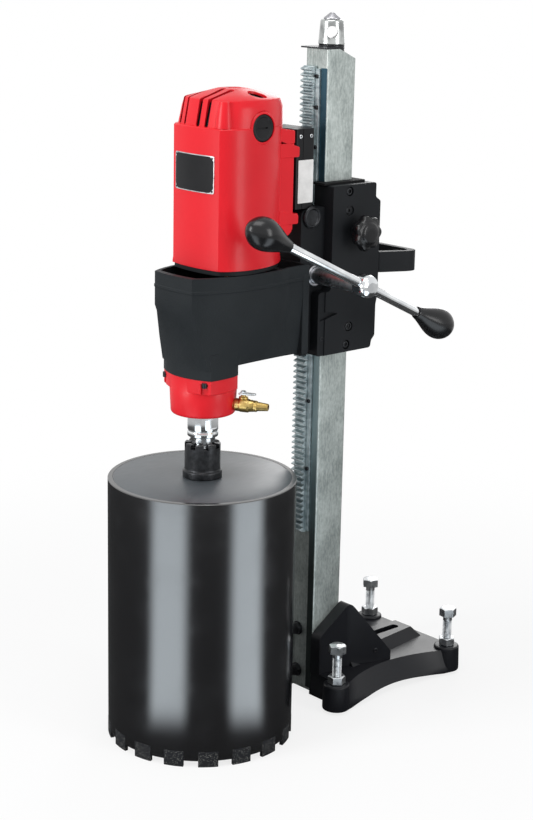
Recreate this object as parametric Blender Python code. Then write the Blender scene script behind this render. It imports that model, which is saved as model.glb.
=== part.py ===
"""Core drill rig: a stand with a geared carriage, a wet drill motor and a 254 mm core bit.

Run with: blender --background --python part.py
Metres, +Z up. The drill is on the -Y side of the column and the feed lever on its +X side.
The pieces are laid out around the column's axis on the floor; the last step moves the whole
rig so that its bounding box is centred on the origin and stands on Z = 0.
"""

from math import acos, asin, atan2, cos, degrees, hypot, pi, radians, sin, sqrt, tan

import bmesh
import bpy
from mathutils import Matrix, Vector

MM = 0.001

# --- fits -------------------------------------------------------------------------------
TOUCH = 0.3 * MM           # gap between two faces that touch
RUNNING = 0.35 * MM        # radial or sliding play of a moving fit

# --- core bit ---------------------------------------------------------------------------
BIT_DIAMETER = 254 * MM
BIT_LENGTH = 364 * MM      # floor to the top of the end plate
BARREL_WALL = 4.5 * MM
END_PLATE = 9 * MM
SEGMENTS = 17
SEGMENT_WIDTH = 30 * MM
SEGMENT_HEIGHT = 24 * MM
SEGMENT_DROP = 9 * MM      # how far a segment reaches below the barrel
SEGMENT_PROUD = 0.6 * MM   # how far it stands out of the barrel on each side

# --- adapter and spindle ----------------------------------------------------------------
SPINDLE_REACH = 218 * MM   # column axis to spindle axis
FLANGE_RADIUS = 26.5 * MM
FLANGE_HEIGHT = 9 * MM
ADAPTER_RADIUS = 24 * MM
ADAPTER_HEIGHT = 38 * MM   # above its flange
NOSE_RADIUS = 15 * MM      # spindle thread inside the adapter
NOSE_LENGTH = 30 * MM
NECK_RADIUS = 16.5 * MM
NECK_HEIGHT = 9 * MM
COLLAR_RADIUS = 20.5 * MM
COLLAR_HEIGHT = 31 * MM
SPINDLE_RADIUS = 17 * MM

# --- gear train -------------------------------------------------------------------------
MOTOR_OFFSET = 43.6 * MM   # spindle axis to motor axis, towards the column
FAST_MODULE = 1.25 * MM
FAST_PINION_TEETH = 9
FAST_GEAR_TEETH = 33
SLOW_MODULE = 1.75 * MM
SLOW_PINION_TEETH = 10
SLOW_GEAR_TEETH = 32
BACKLASH = 0.16            # share of the module taken off each tooth
PRESSURE_ANGLE = radians(20)
WHEEL_WIDTH = 16 * MM
COUNTERSHAFT_RADIUS = 7 * MM

# --- gearbox ----------------------------------------------------------------------------
COVER_HEIGHT = 54 * MM     # red lower cover, above the collar
COVER_RADIUS = 43 * MM
GEARBOX_HEIGHT = 135 * MM
GEARBOX_WALL = 6.5 * MM
GEARBOX_FRONT = 54.5 * MM  # front face ahead of the spindle axis
NOSE_FRONT = 38.5 * MM     # the same, on the lower nose
NOSE_BACK = 27.5 * MM
NOSE_HALF = 45 * MM
NOSE_STEP = 66 * MM        # nose front stays upright up to here, above the gearbox's foot
ARM_HALF = 50 * MM
ARM_LIFT = 14 * MM         # underside of the arm above the nose's lower edge
BEARING_BORE = 20 * MM     # outer radius of the spindle's upper bearing
BEARING_WEB = 16 * MM

# --- motor ------------------------------------------------------------------------------
MOTOR_PLATE = 8 * MM
MOTOR_HEIGHT = 179 * MM    # red body, flange to shoulder
MOTOR_HALF = 61 * MM
MOTOR_DEPTH = 119 * MM
MOTOR_FACET = 45 * MM      # half width of the flat front
MOTOR_WALL = 4.5 * MM
CAP_HEIGHT = 43 * MM       # end cover above the shoulder
CAP_INSET = 10 * MM
STATOR_RADIUS = 50 * MM
ROTOR_RADIUS = 30 * MM
ROTOR_LENGTH = 66 * MM
MOTOR_SHAFT = 7 * MM
COMMUTATOR_RADIUS = 18 * MM
BRUSH_SIDE = 10 * MM
BRUSH_CAP_RADIUS = 17.5 * MM

# --- column and rack --------------------------------------------------------------------
COLUMN_WIDTH = 42 * MM
COLUMN_DEPTH = 52 * MM
COLUMN_WALL = 3.5 * MM
COLUMN_FOOT = 7 * MM       # clearance of the tube above the floor
COLUMN_TOP = 920 * MM
RACK_MODULE = 2.5 * MM
RACK_WIDTH = 21 * MM
RACK_OFFSET = -9.5 * MM    # middle of the rack from the middle of the column
RACK_BODY = 5.2 * MM
RACK_BOTTOM = 243 * MM
RACK_TEETH = 83
PINION_TEETH = 12

# --- carriage and feed ------------------------------------------------------------------
CARRIAGE_HALF = 46 * MM
CARRIAGE_BOTTOM = 512 * MM
CARRIAGE_TOP = 742 * MM
LINER_THICKNESS = 3.3 * MM
LINER_HEIGHT = 42 * MM
NECK_HALF = 30 * MM        # half width of the carriage's front neck
FEED_HEIGHT = 622 * MM     # feed shaft above the floor
SHAFT_RADIUS = 11 * MM
BUSH_WALL = 3.5 * MM
HUB_OUT = 127 * MM         # middle of the lever hub from the column axis
HUB_RADIUS = 16 * MM
HUB_LENGTH = 24 * MM
LEVER_RADIUS = 6.3 * MM
LEVER_FRONT = 153 * MM     # hub axis to the front grip
LEVER_REAR = 111 * MM
LEVER_TILT = radians(25.5)
GRIP_LENGTH = 76 * MM
GRIP_RADIUS = 19 * MM
LOCK_HEIGHT = 678 * MM
LOCK_Y = 12 * MM
LOCK_TRAVEL = 2 * MM
KNOB_RADIUS = 25 * MM
HANDLE_REACH = 117 * MM
HANDLE_HALF = 67 * MM
HANDLE_BOTTOM = 616 * MM
HANDLE_HEIGHT = 28.5 * MM
HANDLE_WALL = 9 * MM

# --- base -------------------------------------------------------------------------------
FOOT_LIFT = 4 * MM         # foot pads stand on the levelling screws
FOOT_X = 81 * MM
FOOT_FRONT = -34 * MM
FOOT_BACK = 195 * MM
FOOT_RADIUS = 19.5 * MM
BOSS_TOP = 42.7 * MM
DECK_TOP = 38 * MM
PLATEAU_TOP = 53 * MM
PLATEAU_START = 34 * MM    # front edge of the plateau's flat top
PLATEAU_FRONT_HALF = 33 * MM
PLATEAU_BACK_HALF = 16 * MM
BASE_WALL = 8 * MM
SLOT_WIDTH = 13 * MM
SLOT_START = 118 * MM
SLOT_END = 172 * MM
GUSSET_WIDTH = 18.4 * MM
GUSSET_TOP = 133 * MM
LEVEL_RADIUS = 6.8 * MM    # M14 levelling screws
LEVEL_FLATS = 22 * MM
LEVEL_HEAD = 12 * MM
LEVEL_NUT = 11 * MM
LEVEL_LENGTH = 100 * MM
COLUMN_BOLT_HEIGHTS = (32 * MM, 96 * MM)
COLUMN_BOLT_RADIUS = 5 * MM
COLUMN_BOLT_END = COLUMN_DEPTH / 2 + 12 * MM
COLUMN_BOLT_FLATS = 16 * MM

# --- jack -------------------------------------------------------------------------------
TOP_PLATE = 4 * MM
JACK_RADIUS = 18 * MM
JACK_HEAD = 33 * MM
JACK_SHANK = 12 * MM
JACK_LENGTH = 70 * MM      # shank below its head
POINT_HEIGHT = 9 * MM
TOMMY_HOLE = 7.5 * MM       # radius of the hole for a tommy bar
TOMMY_TURN = radians(-43)

# --- places worked out from the sizes ---------------------------------------------------
SPINDLE_Y = -SPINDLE_REACH
MOTOR_Y = SPINDLE_Y + MOTOR_OFFSET
ADAPTER_BOTTOM = BIT_LENGTH + TOUCH
ADAPTER_TOP = ADAPTER_BOTTOM + FLANGE_HEIGHT + ADAPTER_HEIGHT
COLLAR_BOTTOM = ADAPTER_TOP + TOUCH + NECK_HEIGHT
COLLAR_TOP = COLLAR_BOTTOM + COLLAR_HEIGHT
COVER_BOTTOM = COLLAR_TOP + 1.5 * MM
GEARBOX_BOTTOM = COVER_BOTTOM + COVER_HEIGHT
GEARBOX_TOP = GEARBOX_BOTTOM + GEARBOX_HEIGHT
ARM_BOTTOM = GEARBOX_BOTTOM + ARM_LIFT
MOTOR_BOTTOM = GEARBOX_TOP + TOUCH + MOTOR_PLATE + TOUCH
SHOULDER = MOTOR_BOTTOM + MOTOR_HEIGHT
MOTOR_TOP = SHOULDER + TOUCH + CAP_HEIGHT
BRUSH_Z = SHOULDER - 1 * MM
MOTOR_FRONT = MOTOR_Y - MOTOR_DEPTH / 2
MOTOR_BACK = MOTOR_Y + MOTOR_DEPTH / 2

FAST_DISTANCE = FAST_MODULE * (FAST_PINION_TEETH + FAST_GEAR_TEETH) / 2
SLOW_DISTANCE = SLOW_MODULE * (SLOW_PINION_TEETH + SLOW_GEAR_TEETH) / 2
ALONG = (SLOW_DISTANCE ** 2 - FAST_DISTANCE ** 2 + MOTOR_OFFSET ** 2) / (2 * MOTOR_OFFSET)
COUNTER_X = sqrt(SLOW_DISTANCE ** 2 - ALONG ** 2)
COUNTER_Y = SPINDLE_Y + ALONG

COLUMN_FRONT = -COLUMN_DEPTH / 2
RACK_BACK = COLUMN_FRONT - TOUCH
PITCH_LINE = RACK_BACK - RACK_BODY - 1.25 * RACK_MODULE
RACK_FRONT = PITCH_LINE - RACK_MODULE
RACK_PITCH = pi * RACK_MODULE
FEED_Y = PITCH_LINE - PINION_TEETH * RACK_MODULE / 2
RACK_LEFT = RACK_OFFSET - RACK_WIDTH / 2
RACK_RIGHT = RACK_OFFSET + RACK_WIDTH / 2
NECK_FRONT = FEED_Y - 26.5 * MM
WAY_X = COLUMN_WIDTH / 2 + RUNNING + LINER_THICKNESS + TOUCH
WAY_Y = COLUMN_DEPTH / 2 + RUNNING + LINER_THICKNESS + TOUCH
GUIDE_SCREW_HEIGHTS = (CARRIAGE_BOTTOM + 35.5 * MM, CARRIAGE_TOP - 35 * MM)
GUIDE_SCREW_RADIUS = 6 * MM
MOUNT_BOLT_RADIUS = 7 * MM
MOUNT_BOLT_Y = FEED_Y - 9 * MM
MOUNT_BOLT_Z = CARRIAGE_TOP - 40.5 * MM
SPINDLE_GEAR_BOTTOM = ARM_BOTTOM + 11 * MM
SPINDLE_GEAR_TOP = SPINDLE_GEAR_BOTTOM + 22 * MM
LOWER_BEARING_RADIUS = 31 * MM
LOWER_BEARING_HEIGHT = 16 * MM
SEAL_RADIUS = 25 * MM
SEAL_HEIGHT = 8 * MM
VALVE_TURN = radians(30.5)
VALVE_Z = COVER_BOTTOM + 14 * MM
SWITCH_FRONT = NECK_FRONT - 12 * MM
SWITCH_BACK = SWITCH_FRONT + 33 * MM
SWITCH_HALF = 30 * MM
SWITCH_BOTTOM = CARRIAGE_TOP - 28.5 * MM
SWITCH_HEIGHT = 106 * MM
SWITCH_WALL = 3 * MM
ROCKER_Y = (SWITCH_FRONT + SWITCH_BACK) / 2
ROCKER_Z = SWITCH_BOTTOM + 76 * MM
GLAND_Z = SWITCH_BOTTOM + 22 * MM

# castings whose cuts cross each other too closely for the exact solver
CROSSING = ("base_casting", "carriage_casting", "gearbox_lower_cover", "motor_housing", "motor_end_cover")

STEEL = ("zinc plated steel", (0.62, 0.64, 0.66), 0.32, 1.0)
DARK_STEEL = ("blackened steel", (0.06, 0.06, 0.065), 0.4, 0.9)
CHROME = ("polished steel", (0.78, 0.79, 0.8), 0.12, 1.0)
GEAR_STEEL = ("hardened steel", (0.38, 0.38, 0.4), 0.3, 1.0)
BLACK_CAST = ("black painted casting", (0.022, 0.023, 0.026), 0.55, 0.0)
BLACK_GLOSS = ("gloss black paint", (0.012, 0.012, 0.014), 0.18, 0.0)
RED = ("red enamel", (0.72, 0.025, 0.035), 0.28, 0.0)
BLACK_PLASTIC = ("black plastic", (0.02, 0.02, 0.022), 0.4, 0.0)
BRASS = ("brass", (0.75, 0.52, 0.2), 0.28, 1.0)
BRONZE = ("bearing bronze", (0.5, 0.32, 0.16), 0.35, 1.0)
COPPER = ("copper windings", (0.6, 0.25, 0.1), 0.4, 0.8)
CARBON = ("carbon", (0.03, 0.03, 0.03), 0.7, 0.0)
RUBBER = ("black rubber", (0.02, 0.02, 0.02), 0.75, 0.0)


# --- mesh helpers -----------------------------------------------------------------------
def outward(bm):
    """Turn every face of a closed mesh outwards."""
    bmesh.ops.recalc_face_normals(bm, faces=bm.faces)
    if bm.calc_volume(signed=True) < 0:
        bmesh.ops.reverse_faces(bm, faces=bm.faces)
    return bm


def along(axis, a, b, h):
    """A point whose outline coordinates are (a, b) and whose height along the axis is h."""
    if axis == "X":
        return (h, a, b)
    if axis == "Y":
        return (a, h, b)
    return (a, b, h)


def loft(sections, axis="Z"):
    """A closed solid through outlines that all have the same number of points: (outline, height)."""
    bm = bmesh.new()
    rings = []
    for outline, height in sections:
        rings.append([bm.verts.new(along(axis, a, b, height)) for a, b in outline])
    count = len(rings[0])
    for low, high in zip(rings, rings[1:]):
        for i in range(count):
            j = (i + 1) % count
            bm.faces.new((low[i], low[j], high[j], high[i]))
    bm.faces.new(rings[0])
    bm.faces.new(rings[-1])
    return outward(bm)


def prism(outline, low, high, axis="Z"):
    """An outline carried straight from one height to another."""
    return loft([(outline, low), (outline, high)], axis)


def frame(outer, inner, low, high, axis="Z"):
    """A prism with a hole: both outlines have the same number of points."""
    bm = bmesh.new()
    rings = []
    for outline, height in ((outer, low), (outer, high), (inner, high), (inner, low)):
        rings.append([bm.verts.new(along(axis, a, b, height)) for a, b in outline])
    count = len(outer)
    for k in range(4):
        first, second = rings[k], rings[(k + 1) % 4]
        for i in range(count):
            j = (i + 1) % count
            bm.faces.new((first[i], first[j], second[j], second[i]))
    return outward(bm)


def turned(profile, axis="Z", at=(0, 0), steps=28, ring=False):
    """A solid of revolution from (radius, height) points; ring closes the profile on itself."""
    bm = bmesh.new()
    rows = []
    for radius, height in profile:
        if radius == 0:
            rows.append([bm.verts.new(along(axis, at[0], at[1], height))])
            continue
        row = []
        for i in range(steps):
            turn = 2 * pi * (i + 0.5) / steps
            row.append(bm.verts.new(along(axis, at[0] + radius * cos(turn), at[1] + radius * sin(turn),
                                          height)))
        rows.append(row)
    pairs = list(zip(rows, rows[1:]))
    if ring:
        pairs.append((rows[-1], rows[0]))
    for low, high in pairs:
        for i in range(steps):
            j = (i + 1) % steps
            if len(low) == 1:
                bm.faces.new((low[0], high[i], high[j]))
            elif len(high) == 1:
                bm.faces.new((low[i], low[j], high[0]))
            else:
                bm.faces.new((low[i], low[j], high[j], high[i]))
    if not ring:
        for row in (rows[0], rows[-1]):
            if len(row) > 1:
                bm.faces.new(row)
    return outward(bm)


def cylinder(radius, low, high, axis="Z", at=(0, 0), steps=24):
    return turned([(radius, low), (radius, high)], axis, at, steps)


def box(x0, x1, y0, y1, z0, z1):
    return prism(rectangle(x0, x1, y0, y1), z0, z1)


def rectangle(a0, a1, b0, b1):
    return [(a0, b0), (a1, b0), (a1, b1), (a0, b1)]


def rounded(a0, a1, b0, b1, radius, steps=4):
    """A rectangle with round corners, starting at its lower left corner."""
    points = []
    corners = ((a1, b0, -90), (a1, b1, 0), (a0, b1, 90), (a0, b0, 180))
    for a, b, start in corners:
        ca = a - radius if a == a1 else a + radius
        cb = b - radius if b == b1 else b + radius
        for i in range(steps + 1):
            turn = radians(start + 90 * i / steps)
            points.append((ca + radius * cos(turn), cb + radius * sin(turn)))
    return points


def bulge(start, end, height, steps=6):
    """Points on an arc from start to end that stands out to the right of the chord."""
    ax, ay = start
    bx, by = end
    chord = hypot(bx - ax, by - ay)
    radius = (chord ** 2 / 4 + height ** 2) / (2 * height)
    half = asin(chord / 2 / radius)
    nx, ny = (by - ay) / chord, -(bx - ax) / chord
    cx = (ax + bx) / 2 + nx * (height - radius)
    cy = (ay + by) / 2 + ny * (height - radius)
    middle = atan2(ny, nx)
    return [(cx + radius * cos(middle + half * (2 * i / steps - 1)),
             cy + radius * sin(middle + half * (2 * i / steps - 1))) for i in range(steps + 1)]


def mirrored(right):
    """The right half of an outline, listed front to back, completed by its left half."""
    return right + [(-x, y) for x, y in reversed(right)]


def shrink(outline, by):
    """An outline moved inwards by a distance, corner by corner."""
    count = len(outline)
    area = sum(outline[i - 1][0] * outline[i][1] - outline[i][0] * outline[i - 1][1] for i in range(count))
    side = 1 if area > 0 else -1
    points = []
    for i in range(count):
        before, here, after = (Vector(outline[k % count]) for k in (i - 1, i, i + 1))
        first = (here - before).normalized()
        second = (after - here).normalized()
        normal = Vector((-first.y - second.y, first.x + second.x)).normalized()
        reach = by / max(0.3, normal.dot(Vector((-first.y, first.x))))
        points.append(tuple(here + normal * side * reach))
    return points


def hexagon(flats, at=(0, 0), turn=0.0):
    radius = flats / sqrt(3)
    return [(at[0] + radius * cos(turn + pi * k / 3),
             at[1] + radius * sin(turn + pi * k / 3)) for k in range(6)]


def gear_outline(module, teeth, middle, at, flank_points=1):
    """Involute teeth; one of them points in the direction `middle`."""
    pitch = module * teeth / 2
    base = pitch * cos(PRESSURE_ANGLE)
    tip = pitch + 0.92 * module
    root = pitch - 1.25 * module
    half_tooth = (pi / 2 - BACKLASH) / teeth
    start = max(base, root)
    radii = [start + (tip - start) * k / flank_points for k in range(flank_points + 1)]
    if root < base:
        radii.insert(0, root)

    def involute(angle):
        return tan(angle) - angle

    def half_angle(radius):
        return half_tooth + involute(PRESSURE_ANGLE) - involute(acos(min(1, base / max(radius, base))))

    points = []
    for tooth in range(teeth):
        centre = middle + 2 * pi * tooth / teeth
        right = [(radius, centre - half_angle(radius)) for radius in radii]
        left = [(radius, centre + half_angle(radius)) for radius in reversed(radii)]
        points += [(at[0] + r * cos(t), at[1] + r * sin(t)) for r, t in right + left]
    return points


# --- objects ----------------------------------------------------------------------------
def clear_scene():
    for item in list(bpy.data.objects):
        bpy.data.objects.remove(item, do_unlink=True)


def material(finish):
    name, colour, roughness, metallic = finish
    found = bpy.data.materials.get(name)
    if found:
        return found
    made = bpy.data.materials.new(name)
    made.use_nodes = True
    shader = made.node_tree.nodes["Principled BSDF"]
    shader.inputs["Base Color"].default_value = (*colour, 1)
    shader.inputs["Roughness"].default_value = roughness
    shader.inputs["Metallic"].default_value = metallic
    return made


def add(name, bm, finish=None, origin=(0, 0, 0), smooth=35):
    """An object whose mesh is given in the rig's coordinates and whose origin is at `origin`."""
    bmesh.ops.translate(bm, vec=-Vector(origin), verts=bm.verts)
    mesh = bpy.data.meshes.new(name)
    bm.to_mesh(mesh)
    bm.free()
    item = bpy.data.objects.new(name, mesh)
    item.location = origin
    item.parent = rig
    bpy.context.scene.collection.objects.link(item)
    if finish:
        mesh.materials.append(material(finish))
    if smooth:
        mesh.shade_smooth()
        mesh.set_sharp_from_angle(angle=radians(smooth))
    return item


def tool(item, bm, operation="DIFFERENCE"):
    """Cut, join or intersect an object with a hidden guide."""
    guide = add(item.name + "_guide", bm, smooth=None)
    guide.hide_render = True
    guide.display_type = "WIRE"
    step = item.modifiers.new(operation.title(), "BOOLEAN")
    step.operation = operation
    step.solver = "MANIFOLD" if item.name in CROSSING else "EXACT"
    step.object = guide


def cut(item, *solids):
    for solid in solids:
        tool(item, solid)


def join(item, *solids):
    for solid in solids:
        tool(item, solid, "UNION")


def bevel(item, width, segments=2, angle=40):
    step = item.modifiers.new("Bevel", "BEVEL")
    step.width = width
    step.segments = segments
    step.limit_method = "ANGLE"
    step.angle_limit = radians(angle)


# --- stand ------------------------------------------------------------------------------
def base_outline(waist, front, back, foot):
    """Right half of the base seen from above: two feet with a waist between them."""
    side = bulge((FOOT_X + foot, FOOT_FRONT + 6 * MM), (FOOT_X + foot, FOOT_BACK - 6 * MM), -waist, 10)
    right = [(FOOT_X - 18 * MM, front), (FOOT_X + foot - 12 * MM, FOOT_FRONT - foot + 6 * MM)]
    right += side
    right += [(FOOT_X + foot - 8 * MM, back - 4 * MM), (FOOT_X - 10 * MM, back)]
    return mirrored(right)


def plateau(spare=0):
    """The raised middle of the deck, with sloping sides; spare makes it larger, as a cutter."""
    low = mirrored([(PLATEAU_FRONT_HALF + 19 * MM + spare, PLATEAU_START - 4 * MM - spare),
                    (PLATEAU_BACK_HALF + 12 * MM + spare, FOOT_BACK + 5 * MM + spare)])
    high = mirrored([(PLATEAU_FRONT_HALF + spare, PLATEAU_START - spare),
                     (PLATEAU_BACK_HALF + spare, FOOT_BACK - 10 * MM + spare)])
    return loft([(low, DECK_TOP - 3 * MM), (high, PLATEAU_TOP + 0.4 * spare)])


def build_base():
    foot_outline = base_outline(12 * MM, COLUMN_FRONT - 4 * MM, FOOT_BACK + 18 * MM, 17 * MM)
    deck_outline = base_outline(30 * MM, COLUMN_FRONT - 1 * MM, FOOT_BACK + 12 * MM, 12 * MM)
    base = add("base_casting", loft([(foot_outline, FOOT_LIFT), (foot_outline, FOOT_LIFT + 5 * MM),
                                     (deck_outline, DECK_TOP)]), BLACK_CAST)
    for x in (-FOOT_X, FOOT_X):
        for y in (FOOT_FRONT, FOOT_BACK):
            join(base, cylinder(FOOT_RADIUS, FOOT_LIFT, BOSS_TOP, at=(x, y), steps=24))
    join(base, plateau())
    spine_back = COLUMN_DEPTH / 2 + 16 * MM
    join(base, box(-COLUMN_WIDTH / 2, COLUMN_WIDTH / 2, COLUMN_DEPTH / 2 + TOUCH, spine_back,
                   DECK_TOP - 4 * MM, GUSSET_TOP - 18 * MM))
    # socket for the column, open to the front
    cut(base, box(-COLUMN_WIDTH / 2 - TOUCH, COLUMN_WIDTH / 2 + TOUCH, COLUMN_FRONT - 30 * MM,
                  COLUMN_DEPTH / 2 + TOUCH, 0, GUSSET_TOP + 10 * MM))
    # anchor slot
    half = SLOT_WIDTH / 2
    slot = rounded(-half, half, SLOT_START, SLOT_END, half * 0.98, 6)
    cut(base, prism(slot, 0, PLATEAU_TOP + 10 * MM))
    # hollow underside, with thick walls round the socket and the feet
    pocket_foot = mirrored([(46 * MM, 62 * MM), (52 * MM, 110 * MM), (50 * MM, FOOT_BACK)])
    pocket_deck = mirrored([(38 * MM, 66 * MM), (42 * MM, 110 * MM), (40 * MM, FOOT_BACK - 6 * MM)])
    cut(base, loft([(pocket_foot, 0), (pocket_deck, DECK_TOP - BASE_WALL)]))
    # the sides are arched up between the feet
    arch = [(FOOT_FRONT + FOOT_RADIUS, -10 * MM)]
    arch += [(FOOT_BACK - FOOT_RADIUS - k * (FOOT_BACK - FOOT_FRONT - 2 * FOOT_RADIUS) / 8,
              FOOT_LIFT + 7 * MM * sin(pi * k / 8)) for k in range(8, -1, -1)]
    arch += [(FOOT_BACK - FOOT_RADIUS, -10 * MM)]
    cut(base, prism(arch, -0.2, 0.2, "X"))
    for x in (-FOOT_X, FOOT_X):
        for y in (FOOT_FRONT, FOOT_BACK):
            cut(base, cylinder(LEVEL_RADIUS + RUNNING, 0, BOSS_TOP + 5 * MM, at=(x, y), steps=16))
    for height in COLUMN_BOLT_HEIGHTS:
        cut(base, cylinder(COLUMN_BOLT_RADIUS + TOUCH, COLUMN_DEPTH / 2 - 5 * MM,
                           COLUMN_BOLT_END + TOUCH, "Y", (RACK_OFFSET, height), 16))


def build_gussets():
    inner = COLUMN_WIDTH / 2 + TOUCH
    outer = inner + GUSSET_WIDTH
    front = COLUMN_FRONT - 3 * MM
    fold = COLUMN_DEPTH / 2 + 1 * MM
    back = fold + 68 * MM
    leaf = 7 * MM
    side = [(front, DECK_TOP + TOUCH), (front, DECK_TOP + 58 * MM), (fold, GUSSET_TOP),
            (fold + 4 * MM, GUSSET_TOP), (back + 2 * MM, PLATEAU_TOP - 4 * MM),
            (back + 2 * MM, DECK_TOP + TOUCH)]
    for name, hand in (("gusset_right", 1), ("gusset_left", -1)):
        plan = [(inner, front), (outer, front), (outer, fold), (outer + 22 * MM, back),
                (outer + 22 * MM - leaf, back + 2 * MM), (outer - leaf, fold + 5 * MM),
                (inner, fold + 5 * MM)]
        plan = [(hand * x, y) for x, y in plan]
        gusset = add(name, prism(side, min(0, hand * 0.09), max(0, hand * 0.09), "X"), BLACK_CAST)
        tool(gusset, prism(plan, DECK_TOP - 10 * MM, GUSSET_TOP + 10 * MM), "INTERSECT")
        # the wing clears the sloping side of the plateau
        cut(gusset, plateau(0.5 * MM))


def build_column():
    half_x, half_y = COLUMN_WIDTH / 2, COLUMN_DEPTH / 2
    outer = rounded(-half_x, half_x, -half_y, half_y, 4 * MM, 3)
    inner = rounded(-half_x + COLUMN_WALL, half_x - COLUMN_WALL, -half_y + COLUMN_WALL, half_y - COLUMN_WALL,
                    1.5 * MM, 3)
    tube = add("column_tube", frame(outer, inner, COLUMN_FOOT, COLUMN_TOP), STEEL)
    for height in COLUMN_BOLT_HEIGHTS:
        cut(tube, cylinder(COLUMN_BOLT_RADIUS + TOUCH, -half_y - 5 * MM, half_y + 5 * MM, "Y",
                           (RACK_OFFSET, height), 16))
    for name, height in zip(("column_bolt_lower", "column_bolt_upper"), COLUMN_BOLT_HEIGHTS):
        seat = COLUMN_FRONT - TOUCH
        bolt = add(name, prism(hexagon(COLUMN_BOLT_FLATS, (RACK_OFFSET, height)), seat - 7 * MM, seat, "Y"),
                   DARK_STEEL)
        join(bolt, cylinder(COLUMN_BOLT_RADIUS, seat - 3 * MM, COLUMN_BOLT_END, "Y", (RACK_OFFSET, height),
                            16))

    plate_bottom = COLUMN_TOP + TOUCH
    plate = add("column_top_plate", prism(outer, plate_bottom, plate_bottom + TOP_PLATE), DARK_STEEL)
    nut_radius = half_x - COLUMN_WALL - 0.6 * MM
    join(plate, cylinder(nut_radius, plate_bottom - 22 * MM, plate_bottom + 1 * MM, steps=28))
    cut(plate, cylinder(JACK_SHANK + RUNNING, plate_bottom - 30 * MM, plate_bottom + 10 * MM, steps=28))


def build_rack():
    """Straight-sided teeth; a gap between two of them lies level with the feed shaft."""
    tooth = RACK_PITCH / 2 - BACKLASH * RACK_MODULE
    slope = tan(PRESSURE_ANGLE)
    tip_half = tooth / 2 - RACK_MODULE * slope
    root_half = tooth / 2 + 1.25 * RACK_MODULE * slope
    below = round((FEED_HEIGHT - RACK_BOTTOM) / RACK_PITCH)
    first = FEED_HEIGHT - (below - 0.5) * RACK_PITCH
    root = PITCH_LINE + 1.25 * RACK_MODULE
    points = [(RACK_BACK, first - RACK_PITCH / 2), (root, first - RACK_PITCH / 2)]
    for k in range(RACK_TEETH):
        middle = first + k * RACK_PITCH
        points += [(root, middle - root_half), (RACK_FRONT, middle - tip_half),
                   (RACK_FRONT, middle + tip_half), (root, middle + root_half)]
    end = first + (RACK_TEETH - 0.5) * RACK_PITCH
    points += [(root, end), (RACK_BACK, end)]
    add("rack", prism(points, RACK_LEFT, RACK_RIGHT, "X"), STEEL, smooth=None)


def build_levelling():
    names = (("front_right", FOOT_X, FOOT_FRONT), ("front_left", -FOOT_X, FOOT_FRONT),
             ("rear_right", FOOT_X, FOOT_BACK), ("rear_left", -FOOT_X, FOOT_BACK))
    head = LEVEL_LENGTH - LEVEL_HEAD
    for name, x, y in names:
        origin = (x, y, 0)
        profile = [(LEVEL_RADIUS - 2 * MM, 0), (LEVEL_RADIUS, 2 * MM), (LEVEL_RADIUS, head + 1 * MM)]
        screw = add("levelling_screw_" + name, turned(profile, at=(x, y), steps=16), STEEL, origin)
        join(screw, prism(hexagon(LEVEL_FLATS, (x, y)), head, LEVEL_LENGTH))
        seat = BOSS_TOP + TOUCH
        nut = add("lock_nut_" + name,
                  prism(hexagon(LEVEL_FLATS, (x, y), radians(20)), seat, seat + LEVEL_NUT), STEEL,
                  origin)
        cut(nut, cylinder(LEVEL_RADIUS + RUNNING, seat - 5 * MM, seat + LEVEL_NUT + 5 * MM, at=(x, y),
                          steps=16))


def build_jack():
    seat = COLUMN_TOP + TOUCH + TOP_PLATE + TOUCH
    top = seat + JACK_HEAD
    profile = [(JACK_SHANK - 2 * MM, seat - JACK_LENGTH), (JACK_SHANK, seat - JACK_LENGTH + 2 * MM),
               (JACK_SHANK, seat), (JACK_RADIUS - 1 * MM, seat), (JACK_RADIUS, seat + 1 * MM),
               (JACK_RADIUS, top - 2 * MM), (JACK_RADIUS - 2 * MM, top), (5.4 * MM, top),
               (5.4 * MM, top - 7 * MM),
               (0, top - 7 * MM)]
    jack = add("jack_screw", turned([(0, seat - JACK_LENGTH)] + profile), CHROME)
    hole = cylinder(TOMMY_HOLE, -0.05, 0.05, "X", (0, seat + 17 * MM), 20)
    bmesh.ops.rotate(hole, cent=(0, 0, 0), matrix=Matrix.Rotation(TOMMY_TURN, 3, "Z"), verts=hole.verts)
    cut(jack, hole)
    point = [(0, top - 6.6 * MM), (5 * MM, top - 6.6 * MM), (5 * MM, top + TOUCH), (11.5 * MM, top + TOUCH),
             (11.5 * MM, top + 1.5 * MM), (1 * MM, top + POINT_HEIGHT), (0, top + POINT_HEIGHT)]
    add("jack_point", turned(point), DARK_STEEL)


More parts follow.
